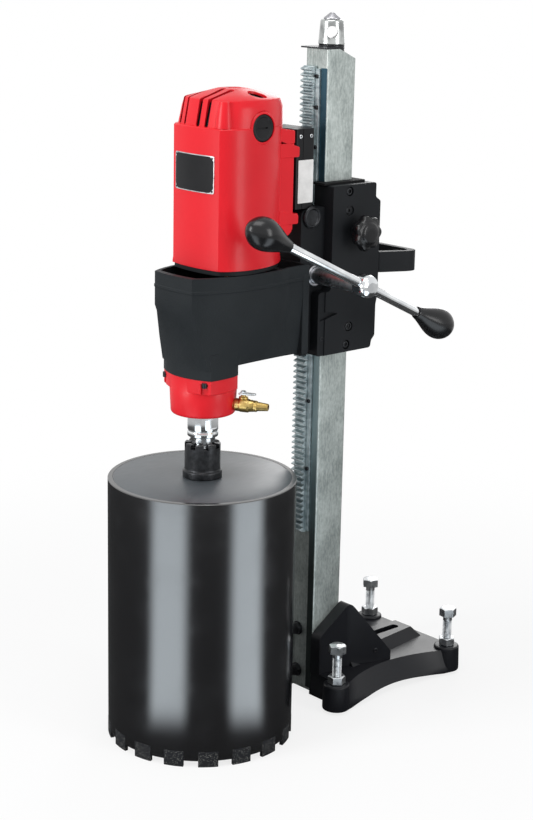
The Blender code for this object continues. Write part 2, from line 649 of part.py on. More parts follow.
# --- carriage ---------------------------------------------------------------------------
def build_carriage():
    step_z = FEED_HEIGHT - 22 * MM
    front = COLUMN_FRONT - 7 * MM
    low_front = FEED_Y - 5 * MM
    rear = COLUMN_DEPTH / 2 + 31 * MM
    side = [(front, step_z), (front, CARRIAGE_TOP), (rear - 9 * MM, CARRIAGE_TOP),
            (rear - 9 * MM, CARRIAGE_TOP - 20 * MM),
            (rear, CARRIAGE_TOP - 26 * MM), (rear, CARRIAGE_BOTTOM + 68 * MM),
            (rear - 2 * MM, CARRIAGE_BOTTOM + 60 * MM),
            (rear - 2 * MM, CARRIAGE_BOTTOM + 16 * MM), (rear - 8 * MM, CARRIAGE_BOTTOM + 10 * MM),
            (rear - 10 * MM, CARRIAGE_BOTTOM), (low_front, CARRIAGE_BOTTOM), (low_front, step_z)]
    body = add("carriage_casting", prism(side, -CARRIAGE_HALF, CARRIAGE_HALF, "X"), BLACK_CAST)
    neck_top = CARRIAGE_TOP - 29 * MM
    join(body, box(-NECK_HALF, NECK_HALF, NECK_FRONT, front + 2 * MM, CARRIAGE_BOTTOM + 6 * MM, neck_top))
    # passage for the column, and a slot for the rack
    cut(body, box(-WAY_X, WAY_X, -WAY_Y, WAY_Y, CARRIAGE_BOTTOM - 0.05, CARRIAGE_TOP + 0.05))
    cut(body, box(RACK_LEFT - 2.5 * MM, RACK_RIGHT + 8 * MM, RACK_FRONT - 3 * MM, -WAY_Y + 2 * MM,
                  CARRIAGE_BOTTOM - 0.05, CARRIAGE_TOP + 0.05))
    # pocket for the pinion and bores for the shaft's bushes
    pocket = PINION_TEETH * RACK_MODULE / 2 + RACK_MODULE + 2 * MM
    cut(body, cylinder(pocket, RACK_LEFT - 2.5 * MM, RACK_RIGHT + 8 * MM, "X", (FEED_Y, FEED_HEIGHT), 32))
    bush = SHAFT_RADIUS + BUSH_WALL + TOUCH
    cut(body, cylinder(bush, -0.1, 0.1, "X", (FEED_Y, FEED_HEIGHT), 32))
    # lock screw, guide screws and mounting bolt
    cut(body, cylinder(5.5 * MM, 0.01, 0.06, "X", (LOCK_Y, LOCK_HEIGHT), 20))
    cut(body, cylinder(8 * MM, 0.01, WAY_X + LOCK_TRAVEL + 1 * MM, "X", (LOCK_Y, LOCK_HEIGHT), 24))
    for height in GUIDE_SCREW_HEIGHTS:
        cut(body, cylinder(GUIDE_SCREW_RADIUS + TOUCH, 0.01, 0.06, "X", (0, height), 20))
    cut(body, cylinder(MOUNT_BOLT_RADIUS + TOUCH, -0.06, 0.06, "X", (MOUNT_BOLT_Y, MOUNT_BOLT_Z), 20))
    # relief in the lower cheek
    relief = [(low_front + 3 * MM, step_z - 24 * MM), (-18 * MM, step_z - 34 * MM),
              (low_front + 3 * MM, step_z - 42 * MM)]
    cut(body, prism(relief, CARRIAGE_HALF - 5 * MM, CARRIAGE_HALF + 5 * MM, "X"))

    build_guides()
    build_handle(rear)
    mount = [(MOUNT_BOLT_RADIUS, -NECK_HALF - 5 * MM), (MOUNT_BOLT_RADIUS, NECK_HALF + TOUCH),
             (11 * MM, NECK_HALF + TOUCH), (11 * MM, NECK_HALF + 5 * MM), (8 * MM, NECK_HALF + 6 * MM),
             (7 * MM, NECK_HALF + 3 * MM), (0, NECK_HALF + 3 * MM)]
    add("mount_bolt", turned([(0, -NECK_HALF - 5 * MM)] + mount, "X", (MOUNT_BOLT_Y, MOUNT_BOLT_Z), 24),
        STEEL)


def build_guides():
    """Bronze liners that slide on the column, each set by a screw in the right cheek."""
    inner_x, inner_y = COLUMN_WIDTH / 2 + RUNNING, COLUMN_DEPTH / 2 + RUNNING
    outer_x, outer_y = inner_x + LINER_THICKNESS, inner_y + LINER_THICKNESS
    starts = (CARRIAGE_BOTTOM + 2 * MM, CARRIAGE_TOP - 2 * MM - LINER_HEIGHT)
    for name, start, height in zip(("lower", "upper"), starts, GUIDE_SCREW_HEIGHTS):
        liner = add(name + "_guide_liner", frame(rectangle(-outer_x, outer_x, -outer_y, outer_y),
                                                 rectangle(-inner_x, inner_x, -inner_y, inner_y),
                                                 start, start + LINER_HEIGHT), BRONZE, smooth=None)
        cut(liner, box(RACK_LEFT - 2 * MM, RACK_RIGHT + 8 * MM, -0.05, -0.015, start - 0.01,
                       start + LINER_HEIGHT + 0.01))
        tip = outer_x + TOUCH
        screw = [(0, tip), (GUIDE_SCREW_RADIUS, tip), (GUIDE_SCREW_RADIUS, CARRIAGE_HALF - 2 * MM),
                 (3 * MM, CARRIAGE_HALF - 2 * MM), (3 * MM, CARRIAGE_HALF - 7 * MM),
                 (0, CARRIAGE_HALF - 7 * MM)]
        add("guide_screw_" + name, turned(screw, "X", (0, height), 20), DARK_STEEL)


def build_handle(rear):
    """Carrying loop behind the carriage, splayed to the width of a hand."""
    root = rear + TOUCH
    inset = 17 * MM
    outer = [(HANDLE_HALF - inset, root), (HANDLE_HALF, HANDLE_REACH - 6 * MM),
             (HANDLE_HALF - 5 * MM, HANDLE_REACH)]
    outer = mirrored([(CARRIAGE_HALF - 1 * MM, root)] + outer[1:])
    inner = [(CARRIAGE_HALF - 1 * MM - HANDLE_WALL, root + HANDLE_WALL),
             (HANDLE_HALF - HANDLE_WALL, HANDLE_REACH - HANDLE_WALL - 4 * MM),
             (HANDLE_HALF - HANDLE_WALL - 4 * MM, HANDLE_REACH - HANDLE_WALL)]
    inner = mirrored(inner)
    handle = add("carry_handle", frame(outer, inner, HANDLE_BOTTOM, HANDLE_BOTTOM + HANDLE_HEIGHT),
                 BLACK_CAST)
    bevel(handle, 1.5 * MM)


def build_feed():
    axis = (FEED_Y, FEED_HEIGHT)
    origin = (0, FEED_Y, FEED_HEIGHT)
    left_end = -NECK_HALF - 4 * MM
    hub_start = HUB_OUT - HUB_LENGTH / 2
    profile = [(0, left_end), (SHAFT_RADIUS - 1 * MM, left_end), (SHAFT_RADIUS, left_end + 1 * MM),
               (SHAFT_RADIUS, hub_start - TOUCH), (0, hub_start - TOUCH)]
    shaft = add("pinion_shaft", turned(profile, "X", axis, 28), STEEL, origin)
    teeth = gear_outline(RACK_MODULE, PINION_TEETH, 0, axis, 2)
    join(shaft, prism(teeth, RACK_LEFT + 1 * MM, RACK_RIGHT - 1 * MM, "X"))

    bore = SHAFT_RADIUS + RUNNING
    outside = SHAFT_RADIUS + BUSH_WALL
    for name, low, high in (("shaft_bush_right", RACK_RIGHT + 1 * MM + 8 * MM, NECK_HALF + 3 * MM),
                            ("shaft_bush_left", -NECK_HALF - 1 * MM, RACK_LEFT - 3 * MM)):
        ring = [(bore, low), (bore, high), (outside, high), (outside, low)]
        add(name, turned(ring, "X", axis, 20, ring=True), BRONZE)

    round_off = 5 * MM
    hub = [(0, hub_start), (HUB_RADIUS - round_off, hub_start), (HUB_RADIUS, hub_start + round_off),
           (HUB_RADIUS, hub_start + HUB_LENGTH - round_off), (HUB_RADIUS - round_off, hub_start + HUB_LENGTH),
           (0, hub_start + HUB_LENGTH + 1 * MM)]
    hub_piece = add("feed_hub", turned(hub, "X", axis, 28), CHROME, origin)
    lay = Matrix.Translation((HUB_OUT, FEED_Y, FEED_HEIGHT)) @ Matrix.Rotation(-LEVER_TILT, 4, "X")
    hole = cylinder(LEVER_RADIUS + TOUCH, -0.05, 0.05, "Y", steps=20)
    bmesh.ops.transform(hole, matrix=lay, verts=hole.verts)
    cut(hub_piece, hole)

    seated = 26 * MM
    bar = cylinder(LEVER_RADIUS, -LEVER_FRONT - seated, LEVER_REAR + seated, "Y", steps=20)
    bmesh.ops.transform(bar, matrix=lay, verts=bar.verts)
    add("lever_bar", bar, CHROME, origin)
    for name, start, way in (("lever_grip_front", LEVER_FRONT, -1), ("lever_grip_rear", LEVER_REAR, 1)):
        outside = []
        for k in range(1, 10):
            share = k / 10
            swell = sin(pi * share ** 1.35) ** 0.62
            outside.append((9 * MM * (1 - share) ** 0.5 + (GRIP_RADIUS - 5.5 * MM) * swell, share))
        socket = LEVER_RADIUS + TOUCH
        grip = [(0, seated + TOUCH), (socket, seated + TOUCH), (socket, 0), (9.5 * MM, 0)]
        grip += [(radius, GRIP_LENGTH * share) for radius, share in outside]
        grip.append((0, GRIP_LENGTH))
        grip = [(radius, way * (start + height)) for radius, height in grip]
        solid = turned(grip, "Y", steps=20)
        bmesh.ops.transform(solid, matrix=lay, verts=solid.verts)
        add(name, solid, BLACK_PLASTIC, origin, smooth=60)


def build_lock():
    axis = (LOCK_Y, LOCK_HEIGHT)
    origin = (0, LOCK_Y, LOCK_HEIGHT)
    pad_in = COLUMN_WIDTH / 2 + TOUCH
    pad_out = WAY_X - 0.4 * MM
    add("lock_pad", cylinder(7 * MM, pad_in, pad_out, "X", axis, 24), BRONZE, origin)
    knob_in = CARRIAGE_HALF + 10 * MM
    knob_out = knob_in + 20 * MM
    screw_end = knob_in + 12 * MM
    add("lock_screw", cylinder(5 * MM, pad_out + TOUCH, screw_end, "X", axis, 20), STEEL, origin)
    lobes = [(LOCK_Y + KNOB_RADIUS * (0.93 + 0.07 * cos(6 * t)) * cos(t),
              LOCK_HEIGHT + KNOB_RADIUS * (0.93 + 0.07 * cos(6 * t)) * sin(t))
             for t in (2 * pi * k / 36 for k in range(36))]
    knob = add("lock_knob", prism(lobes, knob_in + 3 * MM, knob_out - 5 * MM, "X"), BLACK_PLASTIC, origin)
    dome = [(0, knob_in), (11 * MM, knob_in), (14 * MM, knob_in + 4 * MM), (16 * MM, knob_out - 6 * MM),
            (14 * MM, knob_out - 1.5 * MM), (9 * MM, knob_out), (0, knob_out)]
    join(knob, turned(dome, "X", axis, 24))
    cut(knob, cylinder(5 * MM + TOUCH, knob_in - 5 * MM, screw_end + TOUCH, "X", axis, 20))


# --- drill ------------------------------------------------------------------------------
def motor_outline(inset=0.0):
    """Flat front, bowed sides and a flat back, listed anticlockwise from above."""
    front = (MOTOR_FACET, MOTOR_FRONT)
    back = (MOTOR_FACET + 3 * MM, MOTOR_BACK)
    right = bulge(front, back, MOTOR_HALF - MOTOR_FACET - 1.5 * MM, 8)
    outline = mirrored(right)
    if inset:
        outline = shrink(outline, inset)
    return outline


def gearbox_outline(front):
    """The gearbox from above: narrow front, swelling to the motor's width, then the arm."""
    arm_end = NECK_FRONT - TOUCH
    swell = bulge((NOSE_HALF + 1 * MM, SPINDLE_Y - NOSE_FRONT), (ARM_HALF, MOTOR_BACK + 8 * MM), 14.5 * MM, 8)
    right = [(NOSE_HALF + (front - SPINDLE_Y + NOSE_FRONT) * 0.5, front)] + swell + [(ARM_HALF - 2 * MM,
                                                                                      arm_end)]
    return mirrored(right)


def build_gearbox():
    front = SPINDLE_Y - GEARBOX_FRONT
    nose_front = SPINDLE_Y - NOSE_FRONT
    nose_back = SPINDLE_Y + NOSE_BACK
    rim = gearbox_outline(front)
    lower = gearbox_outline(nose_front - 1 * MM)
    step = GEARBOX_BOTTOM + NOSE_STEP
    taper = step + 27 * MM
    housing = add("gearbox_housing", loft([(lower, ARM_BOTTOM), (lower, step - 20 * MM), (rim, taper),
                                           (rim, GEARBOX_TOP)]), BLACK_CAST)
    nose = rounded(-NOSE_HALF, NOSE_HALF, nose_front, nose_back, 10 * MM, 3)
    join(housing, prism(nose, GEARBOX_BOTTOM, ARM_BOTTOM + 12 * MM))
    web_low = SPINDLE_GEAR_TOP + 2 * MM
    web_high = web_low + BEARING_WEB
    chamber = mirrored([(NOSE_HALF - 14 * MM, nose_front + GEARBOX_WALL),
                        (NOSE_HALF - 2 * MM, SPINDLE_Y - 22 * MM),
                        (ARM_HALF + 1 * MM, MOTOR_Y), (ARM_HALF - 4 * MM, MOTOR_BACK - 22 * MM)])
    cut(housing, prism(chamber, web_high, GEARBOX_TOP + 10 * MM))
    floor = ARM_BOTTOM + 9 * MM
    wheel_room = NOSE_HALF - GEARBOX_WALL
    cut(housing, box(-wheel_room, wheel_room, nose_front + GEARBOX_WALL, MOTOR_Y + 20 * MM, floor, web_low))
    cut(housing, box(-wheel_room + 3 * MM, wheel_room - 3 * MM, nose_front + GEARBOX_WALL,
                     nose_back - 8.5 * MM, GEARBOX_BOTTOM - 5 * MM, floor + 5 * MM))
    cut(housing, cylinder(BEARING_BORE + TOUCH, web_low - 2 * MM, web_high + 5 * MM, at=(0, SPINDLE_Y),
                          steps=32))
    counter = (COUNTER_X, COUNTER_Y)
    cut(housing, cylinder(COUNTERSHAFT_RADIUS + RUNNING, floor - 7 * MM, web_high + 5 * MM, at=counter,
                          steps=20))

    plate_bottom = GEARBOX_TOP + TOUCH
    plate = add("bearing_plate", prism(motor_outline(-1.5 * MM), plate_bottom, plate_bottom + MOTOR_PLATE),
                BLACK_CAST)
    cut(plate, cylinder(MOTOR_SHAFT + RUNNING, plate_bottom - 5 * MM, plate_bottom + 20 * MM,
                        at=(0, MOTOR_Y), steps=24))

    build_cover(nose)
    return web_low, web_high, floor


def build_cover(nose):
    """Red lower cover with the lower bearing, the water seal and the tap's threaded hole."""
    top = GEARBOX_BOTTOM - TOUCH
    axis = (0, SPINDLE_Y)
    skirt = [(0, COVER_BOTTOM), (COVER_RADIUS - 3 * MM, COVER_BOTTOM), (COVER_RADIUS, COVER_BOTTOM + 3 * MM),
             (COVER_RADIUS + 2.5 * MM, COVER_BOTTOM + 32 * MM), (COVER_RADIUS - 8 * MM, top - 6 * MM),
             (0, top - 6 * MM)]
    nose_front = SPINDLE_Y - NOSE_FRONT
    nose_back = SPINDLE_Y + NOSE_BACK
    shoulder = rounded(-NOSE_HALF + 0.5 * MM, NOSE_HALF - 0.5 * MM, nose_front + 0.5 * MM,
                       nose_back - 0.5 * MM, 10 * MM, 3)
    cover = add("gearbox_lower_cover", prism(shoulder, top - 20 * MM, top), RED)
    join(cover, turned(skirt, at=axis, steps=36))
    seal_low = COVER_BOTTOM + 2 * MM
    bearing_low = seal_low + SEAL_HEIGHT + 2 * MM
    bore = [(0, COVER_BOTTOM - 5 * MM), (SPINDLE_RADIUS + 1.5 * MM, COVER_BOTTOM - 5 * MM),
            (SPINDLE_RADIUS + 1.5 * MM, seal_low), (SEAL_RADIUS + TOUCH, seal_low),
            (SEAL_RADIUS + TOUCH, bearing_low), (LOWER_BEARING_RADIUS + TOUCH, bearing_low),
            (LOWER_BEARING_RADIUS + TOUCH, bearing_low + LOWER_BEARING_HEIGHT + 3 * MM),
            (SPINDLE_RADIUS + 3 * MM, bearing_low + LOWER_BEARING_HEIGHT + 3 * MM),
            (SPINDLE_RADIUS + 3 * MM, top + 5 * MM), (0, top + 5 * MM)]
    cut(cover, turned(bore, at=axis, steps=28))
    hole = cylinder(6.8 * MM, 34 * MM, 60 * MM, "X", steps=20)
    turn_valve(hole)
    cut(cover, hole)

    rings = (("spindle_seal", SPINDLE_RADIUS + RUNNING, SEAL_RADIUS, seal_low + TOUCH, SEAL_HEIGHT, RUBBER),
             ("spindle_lower_bearing", SPINDLE_RADIUS + TOUCH, LOWER_BEARING_RADIUS, bearing_low + TOUCH,
              LOWER_BEARING_HEIGHT, GEAR_STEEL),
             ("spindle_upper_bearing", 10 * MM + TOUCH, BEARING_BORE, SPINDLE_GEAR_TOP + 2.5 * MM, 14 * MM,
              GEAR_STEEL))
    for name, bore_radius, outside, low, height, finish in rings:
        ring = [(bore_radius, low), (bore_radius, low + height), (outside, low + height), (outside, low)]
        add(name, turned(ring, at=axis, steps=24, ring=True), finish)


def turn_valve(bm):
    """Carry a solid made along +X from the spindle axis to the direction of the water valve."""
    place = Matrix.Translation((0, SPINDLE_Y, VALVE_Z)) @ Matrix.Rotation(VALVE_TURN, 4, "Z")
    bmesh.ops.transform(bm, matrix=place, verts=bm.verts)


def build_valve():
    root = 37 * MM
    seat = COVER_RADIUS + 4 * MM
    body_end = seat + 24 * MM
    profile = [(0, root), (6.5 * MM, root), (6.5 * MM, seat), (9 * MM, seat), (9.5 * MM, seat + 1 * MM),
               (9.5 * MM, seat + 16 * MM), (8 * MM, seat + 18 * MM), (8 * MM, body_end), (0, body_end)]
    solid = turned(profile, "X", steps=20)
    turn_valve(solid)
    body = add("water_valve_body", solid, BRASS)
    stem_x = seat + 9 * MM
    stem = cylinder(5 * MM, 0, 14 * MM, at=(stem_x, 0), steps=20)
    turn_valve(stem)
    join(body, stem)

    barb_start = body_end + TOUCH
    barb = [(0, barb_start), (7.5 * MM, barb_start), (7.5 * MM, barb_start + 3 * MM),
            (5 * MM, barb_start + 5 * MM)]
    for k in range(3):
        foot = barb_start + (6 + 4.5 * k) * MM
        barb += [(4.6 * MM, foot), (5.6 * MM, foot + 1 * MM), (4.8 * MM, foot + 4 * MM)]
    barb.append((0, barb[-1][1]))
    solid = turned(barb, "X", steps=20)
    turn_valve(solid)
    add("hose_barb", solid, BRASS)

    origin = (stem_x * cos(VALVE_TURN), SPINDLE_Y + stem_x * sin(VALVE_TURN), VALVE_Z + 14 * MM + TOUCH)
    lever = box(stem_x - 5 * MM, stem_x + 17 * MM, -4 * MM, 4 * MM, 14 * MM + TOUCH, 18 * MM)
    turn_valve(lever)
    tap = add("tap_lever", lever, BRASS, origin)
    bevel(tap, 0.8 * MM, 1)


def build_spindle(web_low, web_high):
    origin = (0, SPINDLE_Y, COLLAR_BOTTOM)
    nose_end = ADAPTER_TOP - NOSE_LENGTH
    journal = 10 * MM
    gear_seat = 13 * MM
    profile = [(4 * MM, nose_end), (NOSE_RADIUS - 1.5 * MM, nose_end), (NOSE_RADIUS, nose_end + 1.5 * MM),
               (NOSE_RADIUS, ADAPTER_TOP + TOUCH), (NECK_RADIUS, ADAPTER_TOP + TOUCH),
               (NECK_RADIUS, COLLAR_BOTTOM),
               (COLLAR_RADIUS - 1 * MM, COLLAR_BOTTOM), (COLLAR_RADIUS, COLLAR_BOTTOM + 1 * MM),
               (COLLAR_RADIUS, COLLAR_TOP - 1 * MM), (COLLAR_RADIUS - 1 * MM, COLLAR_TOP),
               (SPINDLE_RADIUS, COLLAR_TOP),
               (SPINDLE_RADIUS, SPINDLE_GEAR_BOTTOM - 2 * MM), (gear_seat, SPINDLE_GEAR_BOTTOM - 2 * MM),
               (gear_seat, SPINDLE_GEAR_TOP + 1 * MM), (journal, SPINDLE_GEAR_TOP + 1 * MM),
               (journal, web_high - 1 * MM),
               (0, web_high - 1 * MM)]
    spindle = add("spindle", turned([(0, nose_end)] + profile[1:], at=(0, SPINDLE_Y), steps=24), CHROME,
                  origin)
    cut(spindle, cylinder(4 * MM, nose_end - 5 * MM, VALVE_Z, at=(0, SPINDLE_Y), steps=16))
    flat = COLLAR_RADIUS - 2.5 * MM
    for way in (-1, 1):
        near, far = sorted((way * flat, way * 0.04))
        cut(spindle, box(near, far, SPINDLE_Y - 0.04, SPINDLE_Y + 0.04, COLLAR_BOTTOM + 11 * MM,
                         COLLAR_TOP - 6 * MM))

    to_spindle = atan2(SPINDLE_Y - COUNTER_Y, -COUNTER_X)
    slow = gear_outline(SLOW_MODULE, SLOW_GEAR_TEETH, to_spindle + pi + pi / SLOW_GEAR_TEETH, (0, SPINDLE_Y))
    wheel = add("spindle_gear", prism(slow, SPINDLE_GEAR_BOTTOM, SPINDLE_GEAR_TOP - 3 * MM), GEAR_STEEL,
                origin, smooth=None)
    cut(wheel, cylinder(gear_seat + TOUCH, 0.4, 0.7, at=(0, SPINDLE_Y), steps=32))

    fast_low = web_high + 3 * MM
    counter = (COUNTER_X, COUNTER_Y)
    counter_origin = (COUNTER_X, COUNTER_Y, fast_low)
    low_end = ARM_BOTTOM + 9 * MM - 6 * MM
    shaft = add("intermediate_shaft", turned([(0, low_end), (COUNTERSHAFT_RADIUS, low_end),
                                              (COUNTERSHAFT_RADIUS, fast_low + WHEEL_WIDTH + 4 * MM),
                                              (0, fast_low + WHEEL_WIDTH + 4 * MM)], at=counter, steps=20),
                GEAR_STEEL, counter_origin)
    to_motor = atan2(MOTOR_Y - COUNTER_Y, -COUNTER_X)
    fast = gear_outline(FAST_MODULE, FAST_GEAR_TEETH, to_motor, counter)
    join(shaft, prism(fast, fast_low, fast_low + WHEEL_WIDTH))
    slow_pinion = gear_outline(SLOW_MODULE, SLOW_PINION_TEETH, to_spindle, counter, 2)
    join(shaft, prism(slow_pinion, SPINDLE_GEAR_BOTTOM + 0.5 * MM, SPINDLE_GEAR_TOP))
    return fast_low, to_motor


def build_motor(fast_low, to_motor):
    outer = motor_outline()
    housing = add("motor_housing", frame(outer, motor_outline(MOTOR_WALL), MOTOR_BOTTOM, SHOULDER - 6 * MM),
                  RED)
    join(housing, frame(outer, motor_outline(CAP_INSET + 8 * MM), SHOULDER - 8 * MM, SHOULDER))
    ring = BRUSH_CAP_RADIUS + 4 * MM
    for way in (-1, 1):
        low, high = sorted((way * (MOTOR_HALF - 17 * MM), way * (MOTOR_HALF - 1 * MM)))
        join(housing, cylinder(ring, low, high, "X", (MOTOR_Y, BRUSH_Z), 32))
        low, high = sorted((way * (MOTOR_HALF - 25 * MM), way * (MOTOR_HALF + 5 * MM)))
        cut(housing, cylinder(BRUSH_CAP_RADIUS + TOUCH, low, high, "X", (MOTOR_Y, BRUSH_Z), 32))
    # lugs that carry the switch box and bear on the carriage
    for way in (-1, 1):
        low, high = sorted((way * 24 * MM, way * 40 * MM))
        join(housing, box(low, high, MOTOR_BACK - 3 * MM, SWITCH_FRONT - TOUCH, SHOULDER - 42 * MM,
                          SHOULDER - 6 * MM))
        join(housing, box(low, high, MOTOR_BACK - 3 * MM, NECK_FRONT - TOUCH, CARRIAGE_TOP - 55 * MM,
                          CARRIAGE_TOP - 30 * MM))

    cap_bottom = SHOULDER + TOUCH
    rim = motor_outline(CAP_INSET)
    dome = shrink(rim, 9 * MM)
    cover = add("motor_end_cover", loft([(rim, cap_bottom), (rim, MOTOR_TOP - 10 * MM),
                                         (shrink(rim, 3 * MM), MOTOR_TOP - 4 * MM),
                                         (dome, MOTOR_TOP)]), RED)
    inner = motor_outline(CAP_INSET + MOTOR_WALL)
    cut(cover, loft([(inner, cap_bottom - 5 * MM), (inner, MOTOR_TOP - 12 * MM),
                     (shrink(inner, 8 * MM), MOTOR_TOP - MOTOR_WALL - 1 * MM)]))
    for way in (-1, 1):
        low, high = sorted((way * (MOTOR_HALF - 40 * MM), way * (MOTOR_HALF + 10 * MM)))
        cut(cover, cylinder(ring + TOUCH, low, high, "X", (MOTOR_Y, BRUSH_Z), 32))
    for x in (-30, -16, 8, 22):
        cut(cover, box((x - 1.8) * MM, (x + 1.8) * MM, MOTOR_FRONT, MOTOR_FRONT + 32 * MM,
                       cap_bottom + 6 * MM, MOTOR_TOP + 5 * MM))
    hub = MOTOR_TOP - MOTOR_WALL - 6 * MM
    join(cover, cylinder(16 * MM, hub - 10 * MM, MOTOR_TOP - 2 * MM, at=(0, MOTOR_Y), steps=28))
    cut(cover, cylinder(MOTOR_SHAFT + RUNNING, hub - 20 * MM, MOTOR_TOP - 3 * MM, at=(0, MOTOR_Y), steps=28))

    build_electrics(fast_low, to_motor, hub)


def build_electrics(fast_low, to_motor, hub):
    axis = (0, MOTOR_Y)
    origin = (0, MOTOR_Y, MOTOR_BOTTOM)
    pinion_top = fast_low + WHEEL_WIDTH + 2 * MM
    fan_low = MOTOR_BOTTOM + 6 * MM
    rotor_low = MOTOR_BOTTOM + 42 * MM
    rotor_high = rotor_low + ROTOR_LENGTH
    coil = ROTOR_RADIUS - 5 * MM
    slip_low = BRUSH_Z - 13 * MM
    slip_high = BRUSH_Z + 13 * MM
    small = 4 * MM
    profile = [(0, fast_low), (small, fast_low), (small, pinion_top), (MOTOR_SHAFT, pinion_top + 2 * MM),
               (MOTOR_SHAFT, fan_low),
               (46 * MM, fan_low), (46 * MM, fan_low + 3 * MM), (14 * MM, fan_low + 12 * MM),
               (MOTOR_SHAFT, fan_low + 12 * MM),
               (MOTOR_SHAFT, rotor_low - 12 * MM), (coil, rotor_low - 8 * MM), (coil, rotor_low),
               (ROTOR_RADIUS, rotor_low),
               (ROTOR_RADIUS, rotor_high), (coil, rotor_high), (coil, rotor_high + 8 * MM),
               (MOTOR_SHAFT, rotor_high + 12 * MM), (MOTOR_SHAFT, slip_low), (COMMUTATOR_RADIUS, slip_low),
               (COMMUTATOR_RADIUS, slip_high), (MOTOR_SHAFT, slip_high), (MOTOR_SHAFT, MOTOR_TOP - 5 * MM),
               (0, MOTOR_TOP - 5 * MM)]
    armature = add("armature", turned(profile, at=axis, steps=20), COPPER, origin)
    teeth = gear_outline(FAST_MODULE, FAST_PINION_TEETH, to_motor + pi + pi / FAST_PINION_TEETH, axis, 2)
    join(armature, prism(teeth, fast_low - 1 * MM, pinion_top - 1 * MM))

    field = [(ROTOR_RADIUS + 1 * MM, rotor_low), (ROTOR_RADIUS + 1 * MM, rotor_high),
             (STATOR_RADIUS, rotor_high),
             (STATOR_RADIUS, rotor_low)]
    stator = add("stator", turned(field, at=axis, steps=24, ring=True), COPPER)
    # four feet that the housing grips
    for way_x in (-1, 1):
        low, high = sorted((way_x * (STATOR_RADIUS - 3 * MM), way_x * (MOTOR_HALF - MOTOR_WALL - 1.2 * MM)))
        join(stator, box(low, high, MOTOR_Y - 9 * MM, MOTOR_Y + 9 * MM, rotor_low + 1 * MM,
                         rotor_high - 1 * MM))

    for name, way in (("right", 1), ("left", -1)):
        near = COMMUTATOR_RADIUS + TOUCH
        brush_end = MOTOR_HALF - 12 * MM
        low, high = sorted((way * near, way * brush_end))
        half = BRUSH_SIDE / 2
        add("carbon_brush_" + name,
            box(low, high, MOTOR_Y - half, MOTOR_Y + half, BRUSH_Z - half, BRUSH_Z + half),
            CARBON, smooth=None)
        cap = [(0, brush_end + TOUCH), (BRUSH_CAP_RADIUS, brush_end + TOUCH),
               (BRUSH_CAP_RADIUS, MOTOR_HALF - 2 * MM),
               (BRUSH_CAP_RADIUS - 2 * MM, MOTOR_HALF), (0, MOTOR_HALF)]
        cap = [(radius, way * height) for radius, height in cap]
        button = add("brush_cap_" + name, turned(cap, "X", (MOTOR_Y, BRUSH_Z), 28), BLACK_PLASTIC)
        low, high = sorted((way * (MOTOR_HALF - 2 * MM), way * (MOTOR_HALF + 2 * MM)))
        cut(button, box(low, high, MOTOR_Y - 1.5 * MM, MOTOR_Y + 1.5 * MM, BRUSH_Z - 11 * MM,
                        BRUSH_Z + 11 * MM))

    top = SWITCH_BOTTOM + SWITCH_HEIGHT
    case = add("switch_box", box(-SWITCH_HALF, SWITCH_HALF, SWITCH_FRONT, SWITCH_BACK, SWITCH_BOTTOM, top),
               BLACK_PLASTIC)
    bevel(case, 2 * MM)
    cut(case, box(-SWITCH_HALF + SWITCH_WALL, SWITCH_HALF - SWITCH_WALL, SWITCH_FRONT - 5 * MM,
                  SWITCH_BACK - SWITCH_WALL,
                  SWITCH_BOTTOM + SWITCH_WALL, top - SWITCH_WALL))
    cut(case, box(-SWITCH_HALF - 5 * MM, -SWITCH_HALF + 6 * MM, ROCKER_Y - 8 * MM, ROCKER_Y + 8 * MM,
                  ROCKER_Z - 13 * MM, ROCKER_Z + 13 * MM))
    cut(case, cylinder(7 * MM + TOUCH, -SWITCH_HALF - 5 * MM, -SWITCH_HALF + 6 * MM, "X",
                       (ROCKER_Y, GLAND_Z), 20))

    tilt = [(ROCKER_Z - 11.5 * MM, -SWITCH_HALF - 1 * MM), (ROCKER_Z, -SWITCH_HALF - 0.2 * MM),
            (ROCKER_Z + 11.5 * MM, -SWITCH_HALF - 4.5 * MM), (ROCKER_Z + 8 * MM, -SWITCH_HALF + 4 * MM),
            (ROCKER_Z - 8 * MM, -SWITCH_HALF + 4 * MM)]
    outline = [(x, z) for z, x in tilt]
    add("switch_rocker", prism(outline, ROCKER_Y - 7.4 * MM, ROCKER_Y + 7.4 * MM, "Y"), BLACK_PLASTIC,
        (-SWITCH_HALF + 1 * MM, ROCKER_Y, ROCKER_Z), smooth=None)
    gland = [(0, -SWITCH_HALF + 5 * MM), (7 * MM, -SWITCH_HALF + 5 * MM), (7 * MM, -SWITCH_HALF - TOUCH),
             (10 * MM, -SWITCH_HALF - TOUCH), (10 * MM, -SWITCH_HALF - 5 * MM),
             (7.5 * MM, -SWITCH_HALF - 12 * MM),
             (5 * MM, -SWITCH_HALF - 12 * MM), (5 * MM, -SWITCH_HALF - 4 * MM), (0, -SWITCH_HALF - 4 * MM)]
    add("cable_gland", turned(gland, "X", (ROCKER_Y, GLAND_Z), 24), BLACK_PLASTIC)


